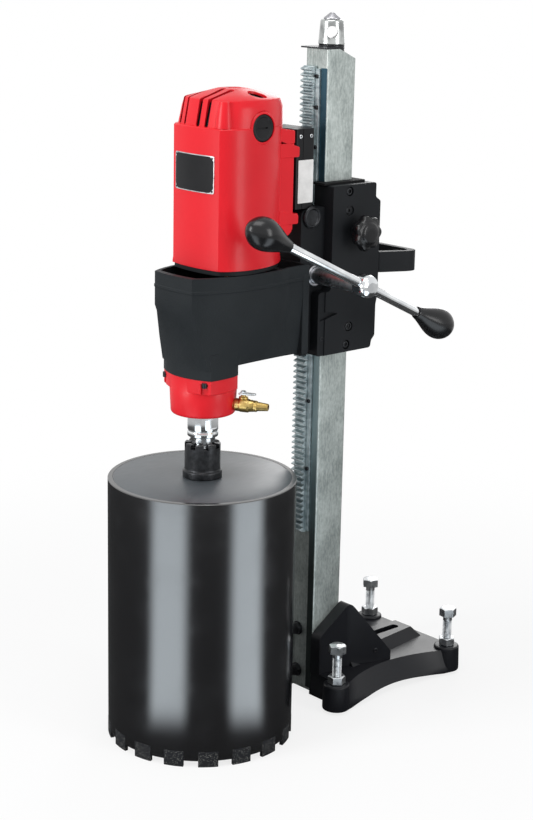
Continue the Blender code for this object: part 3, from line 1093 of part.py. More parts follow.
def build_bit():
    axis = (0, SPINDLE_Y)
    origin = (0, SPINDLE_Y, 0)
    radius = BIT_DIAMETER / 2 - SEGMENT_PROUD
    bore = radius - BARREL_WALL
    rim = SEGMENT_DROP
    hole = 14 * MM
    profile = [(bore, rim), (radius, rim), (radius, BIT_LENGTH - 3 * MM), (radius - 3 * MM, BIT_LENGTH),
               (hole, BIT_LENGTH), (hole, BIT_LENGTH - END_PLATE), (bore, BIT_LENGTH - END_PLATE)]
    barrel = add("core_bit", turned(profile, at=axis, steps=SEGMENTS * 4, ring=True), BLACK_GLOSS, origin)
    # each segment is a curved block set into the rim, standing proud inside and outside
    outside = radius + SEGMENT_PROUD
    inside = bore - SEGMENT_PROUD
    half = SEGMENT_WIDTH / 2 / radius
    for k in range(SEGMENTS):
        middle = 2 * pi * k / SEGMENTS
        turns = [middle + half * (2 * i / 4 - 1) for i in range(5)]
        outline = [(outside * cos(t), SPINDLE_Y + outside * sin(t)) for t in turns]
        outline += [(inside * cos(t), SPINDLE_Y + inside * sin(t)) for t in reversed(turns)]
        join(barrel, prism(outline, 0, SEGMENT_HEIGHT))

    base = ADAPTER_BOTTOM
    step = base + FLANGE_HEIGHT
    socket = ADAPTER_TOP - NOSE_LENGTH - 3 * MM
    profile = [(5 * MM, base - 12 * MM), (hole - TOUCH, base - 12 * MM), (hole - TOUCH, base),
               (FLANGE_RADIUS, base),
               (FLANGE_RADIUS, step), (ADAPTER_RADIUS, step + 1 * MM), (ADAPTER_RADIUS, ADAPTER_TOP),
               (NOSE_RADIUS + TOUCH, ADAPTER_TOP), (NOSE_RADIUS + TOUCH, socket), (5 * MM, socket)]
    adapter = add("bit_adapter", turned(profile, at=axis, steps=32, ring=True), DARK_STEEL, origin)
    for k in range(4):
        notch = box(-0.03, 0.03, -3.5 * MM, 3.5 * MM, ADAPTER_TOP - 6 * MM, ADAPTER_TOP + 5 * MM)
        place = Matrix.Translation((0, SPINDLE_Y, 0)) @ Matrix.Rotation(pi * k / 4, 4, "Z")
        bmesh.ops.transform(notch, matrix=place, verts=notch.verts)
        cut(adapter, notch)


def stand_on_origin():
    """Centre the rig's bounding box on the origin, with its lowest point at Z = 0."""
    bpy.context.view_layer.update()
    graph = bpy.context.evaluated_depsgraph_get()
    corners = []
    for item in bpy.data.objects:
        if item.type == "MESH" and not item.hide_render:
            evaluated = item.evaluated_get(graph)
            corners += [evaluated.matrix_world @ vert.co for vert in evaluated.data.vertices]
    low = [min(point[k] for point in corners) for k in range(3)]
    high = [max(point[k] for point in corners) for k in range(3)]
    rig.location = (-(low[0] + high[0]) / 2, -(low[1] + high[1]) / 2, -low[2])
    bpy.context.view_layer.update()
    size = [round(high[k] - low[k], 4) for k in range(3)]
    print("rig size", size, "column axis at", [round(value, 5) for value in rig.location])


clear_scene()
rig = bpy.data.objects.new("rig", None)
bpy.context.scene.collection.objects.link(rig)

build_base()
build_gussets()
build_column()
build_rack()
build_levelling()
build_jack()
build_carriage()
build_feed()
build_lock()
web_bottom, web_top, gearbox_floor = build_gearbox()
fast_bottom, motor_direction = build_spindle(web_bottom, web_top)
build_motor(fast_bottom, motor_direction)
build_valve()
build_bit()
stand_on_origin()
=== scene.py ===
from math import cos, pi, radians, sin, sqrt, tan
from types import SimpleNamespace

import bmesh
import bpy
from mathutils import Matrix, Vector


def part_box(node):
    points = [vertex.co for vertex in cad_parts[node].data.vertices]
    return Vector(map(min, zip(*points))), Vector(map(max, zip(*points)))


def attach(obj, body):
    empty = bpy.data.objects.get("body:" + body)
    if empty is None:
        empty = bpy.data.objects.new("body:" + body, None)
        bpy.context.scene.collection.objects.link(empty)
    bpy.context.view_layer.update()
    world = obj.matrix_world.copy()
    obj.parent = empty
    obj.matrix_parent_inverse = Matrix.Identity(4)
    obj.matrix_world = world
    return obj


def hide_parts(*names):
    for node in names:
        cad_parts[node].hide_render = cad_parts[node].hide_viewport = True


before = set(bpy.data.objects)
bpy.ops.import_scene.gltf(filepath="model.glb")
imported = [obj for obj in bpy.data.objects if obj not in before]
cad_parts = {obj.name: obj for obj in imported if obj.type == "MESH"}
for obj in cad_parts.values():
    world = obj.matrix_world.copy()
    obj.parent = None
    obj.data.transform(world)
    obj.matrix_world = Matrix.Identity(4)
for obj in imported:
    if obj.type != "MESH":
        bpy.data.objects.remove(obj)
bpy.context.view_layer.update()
mm = 0.001

# in millimetres from the column's axis: the drilling axis, and the feed's and the lock's axes (y and height)
spindleY = -218.0
feedAxis = (-49.6, 622.0)
lockAxis = (12.0, 678.0)
# the bowed front of the motor: half its width, where its corners stand, and how far its middle stands out
motorFace = (45, -233.9, 5.0)
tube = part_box("column_tube")
columnAxis = Vector(((tube[0][0] + tube[1][0]) / 2, (tube[0][1] + tube[1][1]) / 2, 0))


def measure(node):
    # a node's box and middle in millimetres, counted from the column's axis on the floor
    box = SimpleNamespace()
    for key, low, high in zip("xyz", *(Vector(corner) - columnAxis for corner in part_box(node))):
        setattr(box, key + "0", low / mm)
        setattr(box, key + "1", high / mm)
        setattr(box, key, (low / mm + high / mm) / 2)
    return box


class Wire:
    def __init__(self, finish, socket):
        self.finish = finish
        self.socket = socket

    def maths(self, operation, *values):
        return self.finish.node("ShaderNodeMath", {"operation": operation}, dict(enumerate(values)))

    def __add__(self, other):
        return self.maths("ADD", self, other)

    def __sub__(self, other):
        return self.maths("SUBTRACT", self, other)

    def __rsub__(self, other):
        return self.maths("SUBTRACT", other, self)

    def __mul__(self, other):
        return self.maths("MULTIPLY", self, other)

    def __pow__(self, other):
        return self.maths("POWER", self, other)

    def largest(self, other):
        return self.maths("MAXIMUM", self, other)

    def between(self, low, high):
        # 0 below low, 1 above high
        settings = {"interpolation_type": "SMOOTHSTEP", "clamp": True}
        return self.finish.node("ShaderNodeMapRange", settings, {0: self, 1: low, 2: high, 3: 0.0, 4: 1.0})

    def apart(self, other):
        return self.maths("ABSOLUTE", self - other)

    __radd__ = __add__
    __rmul__ = __mul__


class Finish:
    def __init__(self, name, **sockets):
        self.material = bpy.data.materials.new(name)
        self.material.use_nodes = True
        self.tree = self.material.node_tree
        self.shader = self.tree.nodes["Principled BSDF"]
        self.set(**sockets)

    def node(self, kind, settings=None, inputs=None, output=0):
        made = self.tree.nodes.new(kind)
        for key, value in (settings or {}).items():
            setattr(made, key, value)
        for key, value in (inputs or {}).items():
            if isinstance(value, Wire):
                self.tree.links.new(value.socket, made.inputs[key])
            else:
                made.inputs[key].default_value = value
        return Wire(self, made.outputs[output])

    def set(self, **sockets):
        names = {"color": "Base Color", "roughness": "Roughness", "metallic": "Metallic",
                 "coat": "Coat Weight",
                 "coatRoughness": "Coat Roughness", "specular": "Specular IOR Level", "ior": "IOR",
                 "normal": "Normal"}
        for key, value in sockets.items():
            target = self.shader.inputs[names[key]]
            if isinstance(value, Wire):
                self.tree.links.new(value.socket, target)
            elif key == "color":
                target.default_value = (*value, 1)
            else:
                target.default_value = value

    def spot(self, stretch=(1, 1, 1)):
        here = self.node("ShaderNodeTexCoord", output=3)
        if stretch == (1, 1, 1):
            return here
        return self.node("ShaderNodeMapping", {}, {"Vector": here, "Scale": stretch})

    def noise(self, size, detail=2.0, stretch=(1, 1, 1), rough=0.5):
        # size is the width of a patch in millimetres
        return self.node("ShaderNodeTexNoise", {}, {"Vector": self.spot(stretch), "Scale": 1000 / size,
                                                   "Detail": detail, "Roughness": rough})

    def cells(self, size, stretch=(1, 1, 1)):
        grey = self.node("ShaderNodeTexVoronoi", {}, {"Vector": self.spot(stretch), "Scale": 1000 / size}, 1)
        return self.node("ShaderNodeSeparateColor", {}, {0: grey})

    def blend(self, amount, first, second):
        first, second = (value if isinstance(value, Wire) else (*value, 1) for value in (first, second))
        return self.node("ShaderNodeMix", {"data_type": "RGBA"}, {0: amount, 6: first, 7: second}, 2)

    def bump(self, height, strength, depth):
        return self.node("ShaderNodeBump", {},
                         {"Height": height, "Strength": strength, "Distance": depth * mm})


def redEnamel():
    # stove enamel over a die casting: faint orange peel and cloudy depth
    f = Finish("redEnamel", coat=0.10, coatRoughness=0.18, specular=0.26)
    broad = f.noise(80, 3)
    peel = f.noise(2.4, 3, rough=0.6)
    f.set(color=f.blend(broad, (0.76, 0.010, 0.020), (0.62, 0.006, 0.014)),
          roughness=0.30 + 0.14 * f.noise(12, 3),
          normal=f.bump(peel, 0.16, 0.25))
    return f.material


def castPaint(name, dark, light, rough, grain, depth, gloss=0.14):
    # paint over a sand casting: a fine pebbled skin and faintly rubbed high spots
    f = Finish(name, specular=gloss)
    skin = f.noise(grain, 4, rough=0.6)
    broad = f.noise(45, 3)
    rubbed = skin.between(0.60, 0.78) * broad.between(0.45, 0.7)
    f.set(color=f.blend(rubbed * 0.4, f.blend(broad, dark, light), tuple(2.4 * c for c in light)),
          roughness=rough + 0.12 * broad - 0.08 * rubbed,
          normal=f.bump(skin, 0.5, depth))
    return f.material


def glossBarrel():
    # rolled and painted steel tube, finely scratched round its girth
    f = Finish("glossBarrel", specular=0.5, ior=2.2)
    rings = f.noise(1.1, 3, stretch=(0.06, 0.06, 1))
    smears = f.noise(60, 4).between(0.45, 0.75)
    waves = f.noise(38, 2, stretch=(1, 1, 0.4))
    f.set(color=f.blend(smears, (0.0022, 0.0024, 0.0032), (0.0050, 0.0054, 0.0066)),
          roughness=0.15 + 0.06 * rings + 0.06 * smears,
          normal=f.bump(waves, 0.10, 0.5))
    return f.material


def barrelTop():
    f = Finish("barrelTop", specular=0.5)
    patches = f.noise(52, 4)
    scuffs = f.noise(5, 3, stretch=(1, 0.3, 1))
    f.set(color=f.blend(patches, (0.036, 0.043, 0.050), (0.100, 0.115, 0.125)),
          roughness=0.26 + 0.16 * patches + 0.08 * scuffs,
          normal=f.bump(f.noise(1.6, 3), 0.10, 0.12))
    return f.material


def galvanised():
    # zinc-dipped drawn tube: fine flecks drawn out along its length
    f = Finish("galvanised", metallic=0.9)
    fleck = f.noise(3.0, 4, stretch=(1, 1, 0.45), rough=0.7)
    cloud = f.noise(30, 3)
    drawn = f.noise(1.3, 2, stretch=(1, 1, 0.03))
    tone = (0.5 * fleck + 0.3 * cloud + 0.2 * drawn).between(0.34, 0.66)
    f.set(color=f.blend(tone, (0.27, 0.305, 0.295), (0.52, 0.565, 0.545)),
          roughness=0.40 + 0.16 * cloud,
          normal=f.bump(fleck + 0.4 * drawn, 0.16, 0.10))
    return f.material


def metal(name, dark, light, rough, spread, patch, line=(1, 1, 1), bump=0.1, shine=1.0):
    f = Finish(name, metallic=shine)
    tone = f.noise(patch, 3, stretch=line)
    fine = f.noise(0.8, 2, stretch=line)
    f.set(color=f.blend(tone.between(0.3, 0.7), dark, light),
          roughness=rough + spread * (tone - 0.5) + 0.5 * spread * fine,
          normal=f.bump(fine, bump, 0.1))
    return f.material


def moulded(name, colour, rough, grain=0.7, bump=0.2, patch=25, gloss=0.2):
    f = Finish(name, specular=gloss)
    patchy = f.noise(patch, 3)
    f.set(color=f.blend(patchy, colour, tuple(1.6 * c + 0.001 for c in colour)),
          roughness=rough + 0.12 * (patchy - 0.5),
          normal=f.bump(f.noise(grain, 2), bump, 0.12))
    return f.material


def gritty():
    # diamond segments: dark painted matrix with a few grains standing in it
    f = Finish("gritty", specular=0.12)
    grains = f.cells(0.9)
    patch = f.noise(6, 3)
    f.set(color=f.blend(grains.between(0.84, 0.96),
                        f.blend(patch, (0.010, 0.011, 0.013), (0.026, 0.028, 0.032)),
                        (0.16, 0.16, 0.15)),
          roughness=0.36 + 0.25 * grains, metallic=0.2 * patch,
          normal=f.bump(grains + f.noise(0.5, 2), 0.4, 0.2))
    return f.material


def paintedReflectionSteel():
    # cold-drawn face strip with painted light: a painted blue reflection above, a painted highlight across the
    # middle, darker towards the foot
    f = Finish("paintedReflectionSteel", metallic=0.9)
    height = f.node("ShaderNodeSeparateXYZ", {}, {0: f.spot()}, 2)
    drawn = f.noise(1.6, 3, stretch=(1, 1, 0.02))
    # upper holds the painted blue reflection, middle the painted highlight, lower a plain darker tone
    upper = f.blend(drawn, (0.022, 0.060, 0.095), (0.060, 0.130, 0.170))
    middle = f.blend(drawn, (0.20, 0.29, 0.31), (0.36, 0.45, 0.46))
    lower = f.blend(drawn, (0.028, 0.040, 0.042), (0.080, 0.095, 0.090))
    wander = 0.05 * f.noise(60, 2)
    f.set(color=f.blend((height + wander).between(0.56, 0.72), f.blend((height + wander).between(0.20, 0.42),
                                                                      lower, middle), upper),
          roughness=0.34 + 0.14 * drawn,
          normal=f.bump(drawn, 0.2, 0.1))
    return f.material


finishes = {
    "red": redEnamel(),
    "cast": castPaint("castBlack", (0.0065, 0.0075, 0.0090), (0.0120, 0.0135, 0.0155), 0.46, 1.5, 0.3),
    "gearCast": castPaint("gearCast", (0.0095, 0.0120, 0.0140), (0.0190, 0.0225, 0.0250), 0.50, 2.2, 0.45),
    "baseCast": castPaint("baseCast", (0.0050, 0.0055, 0.0075), (0.0090, 0.0098, 0.0125), 0.30, 1.2, 0.12,
                          0.24),
    "barrel": glossBarrel(),
    "barrelTop": barrelTop(),
    "galvanised": galvanised(),
    "paintedReflectionSteel": paintedReflectionSteel(),
    "rackSteel": metal("rackSteel", (0.30, 0.36, 0.38), (0.55, 0.62, 0.63), 0.42, 0.12, 9, bump=0.04),
    "zinc": metal("zincPlate", (0.50, 0.52, 0.54), (0.78, 0.80, 0.81), 0.26, 0.12, 9, bump=0.03),
    "chrome": metal("chrome", (0.66, 0.68, 0.70), (0.84, 0.86, 0.87), 0.10, 0.07, 22, bump=0.02),
    "jackSteel": metal("jackSteel", (0.26, 0.27, 0.27), (0.56, 0.58, 0.57), 0.17, 0.12, 14, bump=0.05),
    "oxide": metal("blackOxide", (0.012, 0.013, 0.015), (0.030, 0.032, 0.036), 0.32, 0.16, 6, bump=0.12,
                   shine=0.6),
    "brass": metal("brass", (0.42, 0.29, 0.09), (0.60, 0.44, 0.17), 0.30, 0.12, 8, bump=0.06),
    "bronze": metal("bronze", (0.42, 0.26, 0.13), (0.58, 0.38, 0.20), 0.34, 0.12, 6),
    "gearSteel": metal("gearSteel", (0.30, 0.30, 0.32), (0.46, 0.46, 0.48), 0.28, 0.12, 5, line=(1, 1, 8)),
    "copper": metal("windings", (0.45, 0.17, 0.07), (0.66, 0.30, 0.14), 0.36, 0.14, 1.6, line=(1, 1, 6),
                    bump=0.4),
    "plastic": moulded("blackPlastic", (0.0060, 0.0062, 0.0072), 0.34),
    "grip": moulded("gripPlastic", (0.0050, 0.0053, 0.0060), 0.24, grain=1.6, bump=0.05, gloss=0.34),
    "rubber": moulded("rubber", (0.0080, 0.0080, 0.0085), 0.72, grain=0.4, bump=0.4, gloss=0.1),
    "carbon": moulded("carbon", (0.016, 0.016, 0.017), 0.62, grain=0.5, bump=0.3, patch=4),
    "paper": moulded("paperLabel", (0.60, 0.60, 0.59), 0.45, grain=0.6, bump=0.06, patch=12),
    "grit": gritty(),
}
print("finishes made:", len(finishes))


def along(axis, a, b, h):
    return {"X": (h, a, b), "Y": (a, h, b), "Z": (a, b, h)}[axis]


def rectangle(a0, a1, b0, b1):
    return [(a0, b0), (a1, b0), (a1, b1), (a0, b1)]


def circle(radius, at=(0, 0), steps=32, turn=0.0):
    return [(at[0] + radius * cos(turn + 2 * pi * k / steps), at[1] + radius * sin(turn + 2 * pi * k / steps))
            for k in range(steps)]


def soften(points, radius, steps=4, closed=True):
    # rounds the corners; radius is one number or one for each corner
    count = len(points)
    result = []
    for i, here in enumerate(points):
        reach = radius[i] if isinstance(radius, (list, tuple)) else radius
        if reach == 0 or (not closed and i in (0, count - 1)):
            result.append(tuple(here))
            continue
        here = Vector(here)
        before, after = Vector(points[i - 1]), Vector(points[(i + 1) % count])
        start = here + (before - here).normalized() * min(reach, (before - here).length * 0.49)
        end = here + (after - here).normalized() * min(reach, (after - here).length * 0.49)
        for k in range(steps + 1):
            t = k / steps
            result.append(tuple(start * (1 - t) ** 2 + here * 2 * t * (1 - t) + end * t * t))
    return result


def sweep(a, b, c, d, steps=20):
    # a cubic curve from a to d, drawn towards b and c
    a, b, c, d = (Vector(point) for point in (a, b, c, d))
    shares = [k / steps for k in range(steps + 1)]
    return [tuple(a * (1 - t) ** 3 + b * 3 * t * (1 - t) ** 2 + c * 3 * t * t * (1 - t) + d * t ** 3) for t in shares]


def crown(half, front, swell, steps=5):
    # the right half of a bowed front edge, out to its corner at x = half
    shares = [(k + 0.5) / (steps + 0.5) for k in range(steps + 1)]
    return [(half * t, front - swell * (1 - t * t)) for t in shares]


def mirrored(right):
    return right + [(-x, y) for x, y in reversed(right)]


def shrink(outline, by):
    count = len(outline)
    area = sum(outline[i - 1][0] * outline[i][1] - outline[i][0] * outline[i - 1][1] for i in range(count))
    side = 1 if area > 0 else -1
    points = []
    for i in range(count):
        before, here, after = (Vector(outline[k % count]) for k in (i - 1, i, i + 1))
        first, second = (here - before).normalized(), (after - here).normalized()
        normal = Vector((-first.y - second.y, first.x + second.x)).normalized()
        reach = by / max(0.3, normal.dot(Vector((-first.y, first.x))))
        points.append(tuple(here + normal * side * reach))
    return points


def outward(bm):
    bmesh.ops.recalc_face_normals(bm, faces=bm.faces)
    if bm.calc_volume(signed=True) < 0:
        bmesh.ops.reverse_faces(bm, faces=bm.faces)
    return bm


def loft(sections, axis="Z"):
    bm = bmesh.new()
    rings = [[bm.verts.new(along(axis, a, b, height)) for a, b in outline] for outline, height in sections]
    count = len(rings[0])
    for low, high in zip(rings, rings[1:]):
        for i in range(count):
            j = (i + 1) % count
            bm.faces.new((low[i], low[j], high[j], high[i]))
    bm.faces.new(rings[0])
    bm.faces.new(rings[-1])
    return outward(bm)


def prism(outline, low, high, axis="Z"):
    return loft([(outline, low), (outline, high)], axis)


def block(x0, x1, y0, y1, z0, z1):
    return prism(rectangle(x0, x1, y0, y1), z0, z1)


def turned(profile, axis="Z", at=(0, 0), steps=48, ring=False):
    # profile is (radius, height) points; ring closes it on itself
    bm = bmesh.new()
    rows = []
    for radius, height in profile:
        if radius == 0:
            rows.append([bm.verts.new(along(axis, at[0], at[1], height))])
        else:
            rows.append([bm.verts.new(along(axis, a, b, height)) for a, b in circle(radius, at, steps)])
    pairs = list(zip(rows, rows[1:])) + ([(rows[-1], rows[0])] if ring else [])
    for low, high in pairs:
        for i in range(steps):
            j = (i + 1) % steps
            if len(low) == 1:
                bm.faces.new((low[0], high[i], high[j]))
            elif len(high) == 1:
                bm.faces.new((low[i], low[j], high[0]))
            else:
                bm.faces.new((low[i], low[j], high[j], high[i]))
    if not ring:
        for row in (rows[0], rows[-1]):
            if len(row) > 1:
                bm.faces.new(row)
    return outward(bm)


def rod(radius, low, high, axis="Z", at=(0, 0), steps=32):
    return turned([(radius, low), (radius, high)], axis, at, steps)


def moved(bm, matrix):
    bmesh.ops.transform(bm, matrix=matrix, verts=bm.verts)
    return bm


def together(*parts):
    bm = bmesh.new()
    for part in parts:
        scratch = bpy.data.meshes.new("scratch")
        part.to_mesh(scratch)
        part.free()
        bm.from_mesh(scratch)
        bpy.data.meshes.remove(scratch)
    return bm


def carved(bm, cuts=(), joins=(), keeps=()):
    # joins, then cuts, then keeps what lies inside each of the last
    base = bpy.data.objects.new("carving", bpy.data.meshes.new("carving"))
    bm.to_mesh(base.data)
    bm.free()
    bpy.context.scene.collection.objects.link(base)
    helpers = []
    for operation, solids in (("UNION", joins), ("DIFFERENCE", cuts), ("INTERSECT", keeps)):
        for solid in solids:
            helper = bpy.data.objects.new("helper", bpy.data.meshes.new("helper"))
            solid.to_mesh(helper.data)
            solid.free()
            bpy.context.scene.collection.objects.link(helper)
            helpers.append(helper)
            step = base.modifiers.new(operation, "BOOLEAN")
            step.operation = operation
            step.object = helper
            step.solver = "MANIFOLD"
    bpy.context.view_layer.update()
    evaluated = base.evaluated_get(bpy.context.evaluated_depsgraph_get())
    result = bmesh.new()
    result.from_mesh(evaluated.data)
    for item in helpers + [base]:
        mesh = item.data
        bpy.data.objects.remove(item)
        bpy.data.meshes.remove(mesh)
    bmesh.ops.dissolve_limit(result, angle_limit=0.001, verts=result.verts, edges=result.edges)
    return result


def place(name, bm, body, finish, replaces=(), bevel=0.0, smooth=35, segments=2):
    # millimetres from the column's axis become metres in the rig's frame
    moved(bm, Matrix.Translation(columnAxis) @ Matrix.Scale(mm, 4))
    mesh = bpy.data.meshes.new(name)
    bm.to_mesh(mesh)
    bm.free()
    item = bpy.data.objects.new(name, mesh)
    bpy.context.scene.collection.objects.link(item)
    mesh.materials.append(finishes[finish])
    mesh.shade_smooth()
    mesh.set_sharp_from_angle(angle=radians(smooth))
    if bevel:
        step = item.modifiers.new("edges", "BEVEL")
        step.width = bevel * mm
        step.segments = segments
        step.limit_method = "ANGLE"
        step.angle_limit = radians(38)
        step.harden_normals = True
    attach(item, body)
    if replaces:
        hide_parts(*replaces)
    return item


def thread(radius, low, high, pitch):
    # ridges of a screw, as turned rings
    profile = []
    count = max(1, round((high - low) / pitch))
    step = (high - low) / count
    for k in range(count):
        start = low + k * step
        profile += [(radius - 0.55 * step, start + 0.02 * step), (radius, start + 0.45 * step),
                    (radius, start + 0.58 * step)]
    return profile


def hexagonBlock(flats, low, high, axis="Z", at=(0, 0), turn=0.0, upward=True):
    # a hexagon whose corners are turned off on its outer end
    corner = flats / sqrt(3)
    shape = prism(circle(corner, at, 6, turn), low, high, axis)
    way = 1 if upward else -1
    inner, outer = (low, high) if upward else (high, low)
    cap = [(0, inner - way * 5), (corner + 3, inner - way * 5),
           (corner + 3, outer - way * (corner - flats / 2 + 1.7)),
           (flats / 2 - 0.6, outer + way * 0.01), (0, outer + way * 0.01)]
    return carved(shape, keeps=[turned(cap, axis, at, 36)])


def socketScrew(radius, seat, length, way, axis, at, steps=28):
    # a cap screw whose head starts at seat and stands towards way
    top = seat + way * length
    profile = soften([(0, seat - way * 2), (radius, seat - way * 2), (radius, top), (radius * 0.55, top),
                      (radius * 0.55, top - way * length * 0.6), (0, top - way * length * 0.6)],
                     [0, 0, radius * 0.22, 0.15, 0.1, 0], 3, closed=False)
    return turned(profile, axis, at, steps)


def span(way, near, far):
    # the same reach on the side that way points to
    return sorted((way * near, way * far))


def stance(at, turn, axis="Z"):
    return Matrix.Translation(at) @ Matrix.Rotation(turn, 4, axis)


def makeBit():
    size = measure("core_bit")
    bit = {"radius": (size.y1 - size.y0) / 2 - 0.6, "wall": 4.5, "plate": 9.0, "rim": 9.0, "hub": 14.0,
           "segments": 17, "width": 27.0, "height": 22.0, "proud": 0.25, "turn": 0.13}
    axis, top, under, hub = (size.x, size.y), size.z1, size.z1 - bit["plate"], bit["hub"]
    outer, inner = bit["radius"], bit["radius"] - bit["wall"]
    wall = [(inner, bit["rim"]), (outer, bit["rim"]), (outer, top - 1.2), (outer - 0.9, top - 0.1),
            (inner - 2, top - 0.1), (inner - 2, under), (inner, under)]
    place("bitBarrel", turned(wall, at=axis, steps=144, ring=True), "spindle", "barrel", ["core_bit"],
          smooth=30)
    disc = [(hub, under + 1), (inner - 2.2, under + 1), (inner - 2.2, top - 0.3), (inner - 3, top), (30, top),
            (hub + 1, top - 0.2), (hub, top - 1)]
    place("bitEndPlate", turned(disc, at=axis, steps=96, ring=True), "spindle", "barrelTop", smooth=30)
    teeth = []
    half = bit["width"] / 2 / outer
    far, near = outer + bit["proud"], inner - bit["proud"]
    for k in range(bit["segments"]):
        middle = 2 * pi * k / bit["segments"] + bit["turn"]
        turns = [middle + half * (i / 4 - 1) for i in range(9)]
        corners = [(far, t) for t in turns] + [(near, t) for t in reversed(turns)]
        teeth.append(prism([(axis[0] + r * cos(t), axis[1] + r * sin(t)) for r, t in corners], 0,
                           bit["height"]))
    place("bitSegments", together(*teeth), "spindle", "grit", bevel=0.5)


def makeSpindle():
    adapter, shaft = measure("bit_adapter"), measure("spindle")
    at = x, y = adapter.x, adapter.y
    top, flange = adapter.z1, adapter.z0 + 12
    collar = {"low": top + 9.3, "high": top + 40.3, "radius": 20.5, "flat": 17.6}
    shape = soften([(5, flange - 12), (13.7, flange - 12), (13.7, flange), (26.5, flange), (26.5, flange + 9),
                    (24.6, flange + 10.5), (24, flange + 12), (24, top), (15.3, top), (15.3, top - 33),
                    (5, top - 33)],
                   [0, 0, 0, 1.2, 1.6, 0.8, 0.8, 1.5, 0.8, 0, 0], 3)
    notches = [moved(block(-30, 30, -3.5, 3.5, top - 6, top + 5), stance((x, y, 0), pi * k / 4 + 0.3))
               for k in range(4)]
    place("bitAdapter", carved(turned(shape, at=at), cuts=notches), "spindle", "oxide", ["bit_adapter"],
          bevel=0.35)

    low, high, radius = collar["low"], collar["high"], collar["radius"]
    outline = [(0, shaft.z0)] + thread(15, shaft.z0 + 1, top - 1, 2.5) + [(15, top + 0.3)]
    outline += soften([(15.2, top + 0.3), (16.5, top + 0.3), (16.5, low), (radius, low), (radius, low + 6),
                       (radius - 0.9, low + 7), (radius - 0.9, low + 8.5), (radius, low + 9.5),
                       (radius, high),
                       (17, high)], [0, 0.6, 0.5, 1.4, 0.4, 0.3, 0.3, 0.4, 1.6, 0], 3, closed=False)
    outline += [(17, shaft.z1 - 1), (0, shaft.z1 - 1)]
    flats = [block(*sorted((x + way * collar["flat"], x + way * 40)), y - 40, y + 40, low + 12, high - 6)
             for way in (-1, 1)]
    place("spindleShaft", carved(turned(outline, at=at), cuts=flats), "spindle", "chrome", ["spindle"],
          bevel=0.3)


makeBit()
makeSpindle()
print("bit and spindle made")


def motorOutline(grow=0.0):
    half, front, bow = motorFace
    side = sweep((half, front), (70, -214), (67, -150), (30, -113.5), 24)
    outline = mirrored(crown(half, front, bow) + side[1:])
    return shrink(outline, -grow) if grow else outline


def noseOutline():
    right = crown(48.5, -246, 15, 8) + [(49.6, -236), (49, -222), (47, -206), (42, -194), (30, -190.5)]
    return mirrored(right)


def makeGearbox():
    box = measure("gearbox_housing")
    gear = {"wall": 4.0, "bead": 0.8, "edge": 1.6, "foot": 14, "knee": 46, "waist": 82, "brow": 91}
    top, bottom, back = box.z1, box.z0, box.y1

    def outline(corner, swell, side, end=48.5):
        right = crown(*corner, swell) + sweep(corner, *side, 22)[1:]
        return mirrored(right + [(end, back)])

    foot = outline((47.5, -249), 10, ((50, -225), (42, -190), (41, -112)), 42)
    knee = outline((43, -258), 6, ((56, -230), (58, -165), (45, -112)), 46)
    waist = outline((39, -266), 4, ((58, -236), (67, -165), (49, -112)))
    cheek = ((60, -236), (69, -165), (50, -112))
    upper = outline((37.5, -270.5), 3.5, cheek)
    bead = shrink(upper, -gear["bead"])
    sections = [(foot, bottom + gear["foot"]), (knee, bottom + gear["knee"]), (waist, bottom + gear["waist"]),
                (upper, bottom + gear["brow"]), (upper, top - 21), (bead, top - 20), (bead, top - 17),
                (upper, top - 16), (upper, top)]
    hollow = prism(shrink(outline((37.5, -266), 3.5, cheek), gear["wall"]), top - 30, top + 5)
    bore = rod(38, bottom - 5, bottom + 20, at=(0, spindleY), steps=48)
    body = carved(loft(sections), joins=[prism(noseOutline(), bottom, bottom + 34)], cuts=[hollow, bore])
    place("gearboxCasting", body, "carriage", "gearCast", ["gearbox_housing"], bevel=gear["edge"], segments=3,
          smooth=28)
    # mounting flange on the back of the arm
    flange = soften(rectangle(-50, 50, bottom + 11, top - 12), 5, 4)
    place("gearboxFlange", prism(flange, back - 12, back - 0.1, "Y"), "carriage", "gearCast", bevel=1.6)

    plate = measure("bearing_plate")
    place("bearingPlate", prism(motorOutline(-2.0), plate.z0, plate.z1 - 1.7), "carriage", "cast",
          ["bearing_plate"],
          bevel=0.8)
    makeLowerCover(measure("gearbox_lower_cover"))


def makeLowerCover(cover):
    bottom, top = cover.z0, cover.z1
    skirt = soften([(18.5, bottom + 2), (24, bottom), (40.5, bottom), (43, bottom + 2.5), (44.6, top - 20),
                    (40, top - 8), (18.5, top - 8)], [0, 0.5, 2.5, 2, 0, 0, 0], 4)
    shoulder, drawn = shrink(noseOutline(), 0.5), shrink(noseOutline(), 2.2)
    body = loft([(drawn, top - 19.5), (shoulder, top - 18), (shoulder, top)])
    cuts = [rod(19, bottom - 5, top + 5, at=(0, spindleY), steps=40)]
    corners = ((40, -250, -pi / 3.2), (-40, -250, -pi + pi / 3.2))
    for x, y, turn in corners:     # a pocket for each cover screw leaves a rib on each side
        cuts.append(moved(block(-4.0, 16, -5.2, 5.2, bottom - 5, top - 4), stance((x, y, 0), turn)))
    body = carved(turned(skirt, at=(0, spindleY), steps=72, ring=True), joins=[body], cuts=cuts)
    place("lowerCover", body, "carriage", "red", ["gearbox_lower_cover"], bevel=0.9)
    screws = [socketScrew(3.4, top - 4.5, 5, -1, "Z", (x, y)) for x, y, turn in corners]
    place("lowerCoverScrews", together(*screws), "carriage", "oxide")


makeGearbox()
print("gearbox made")


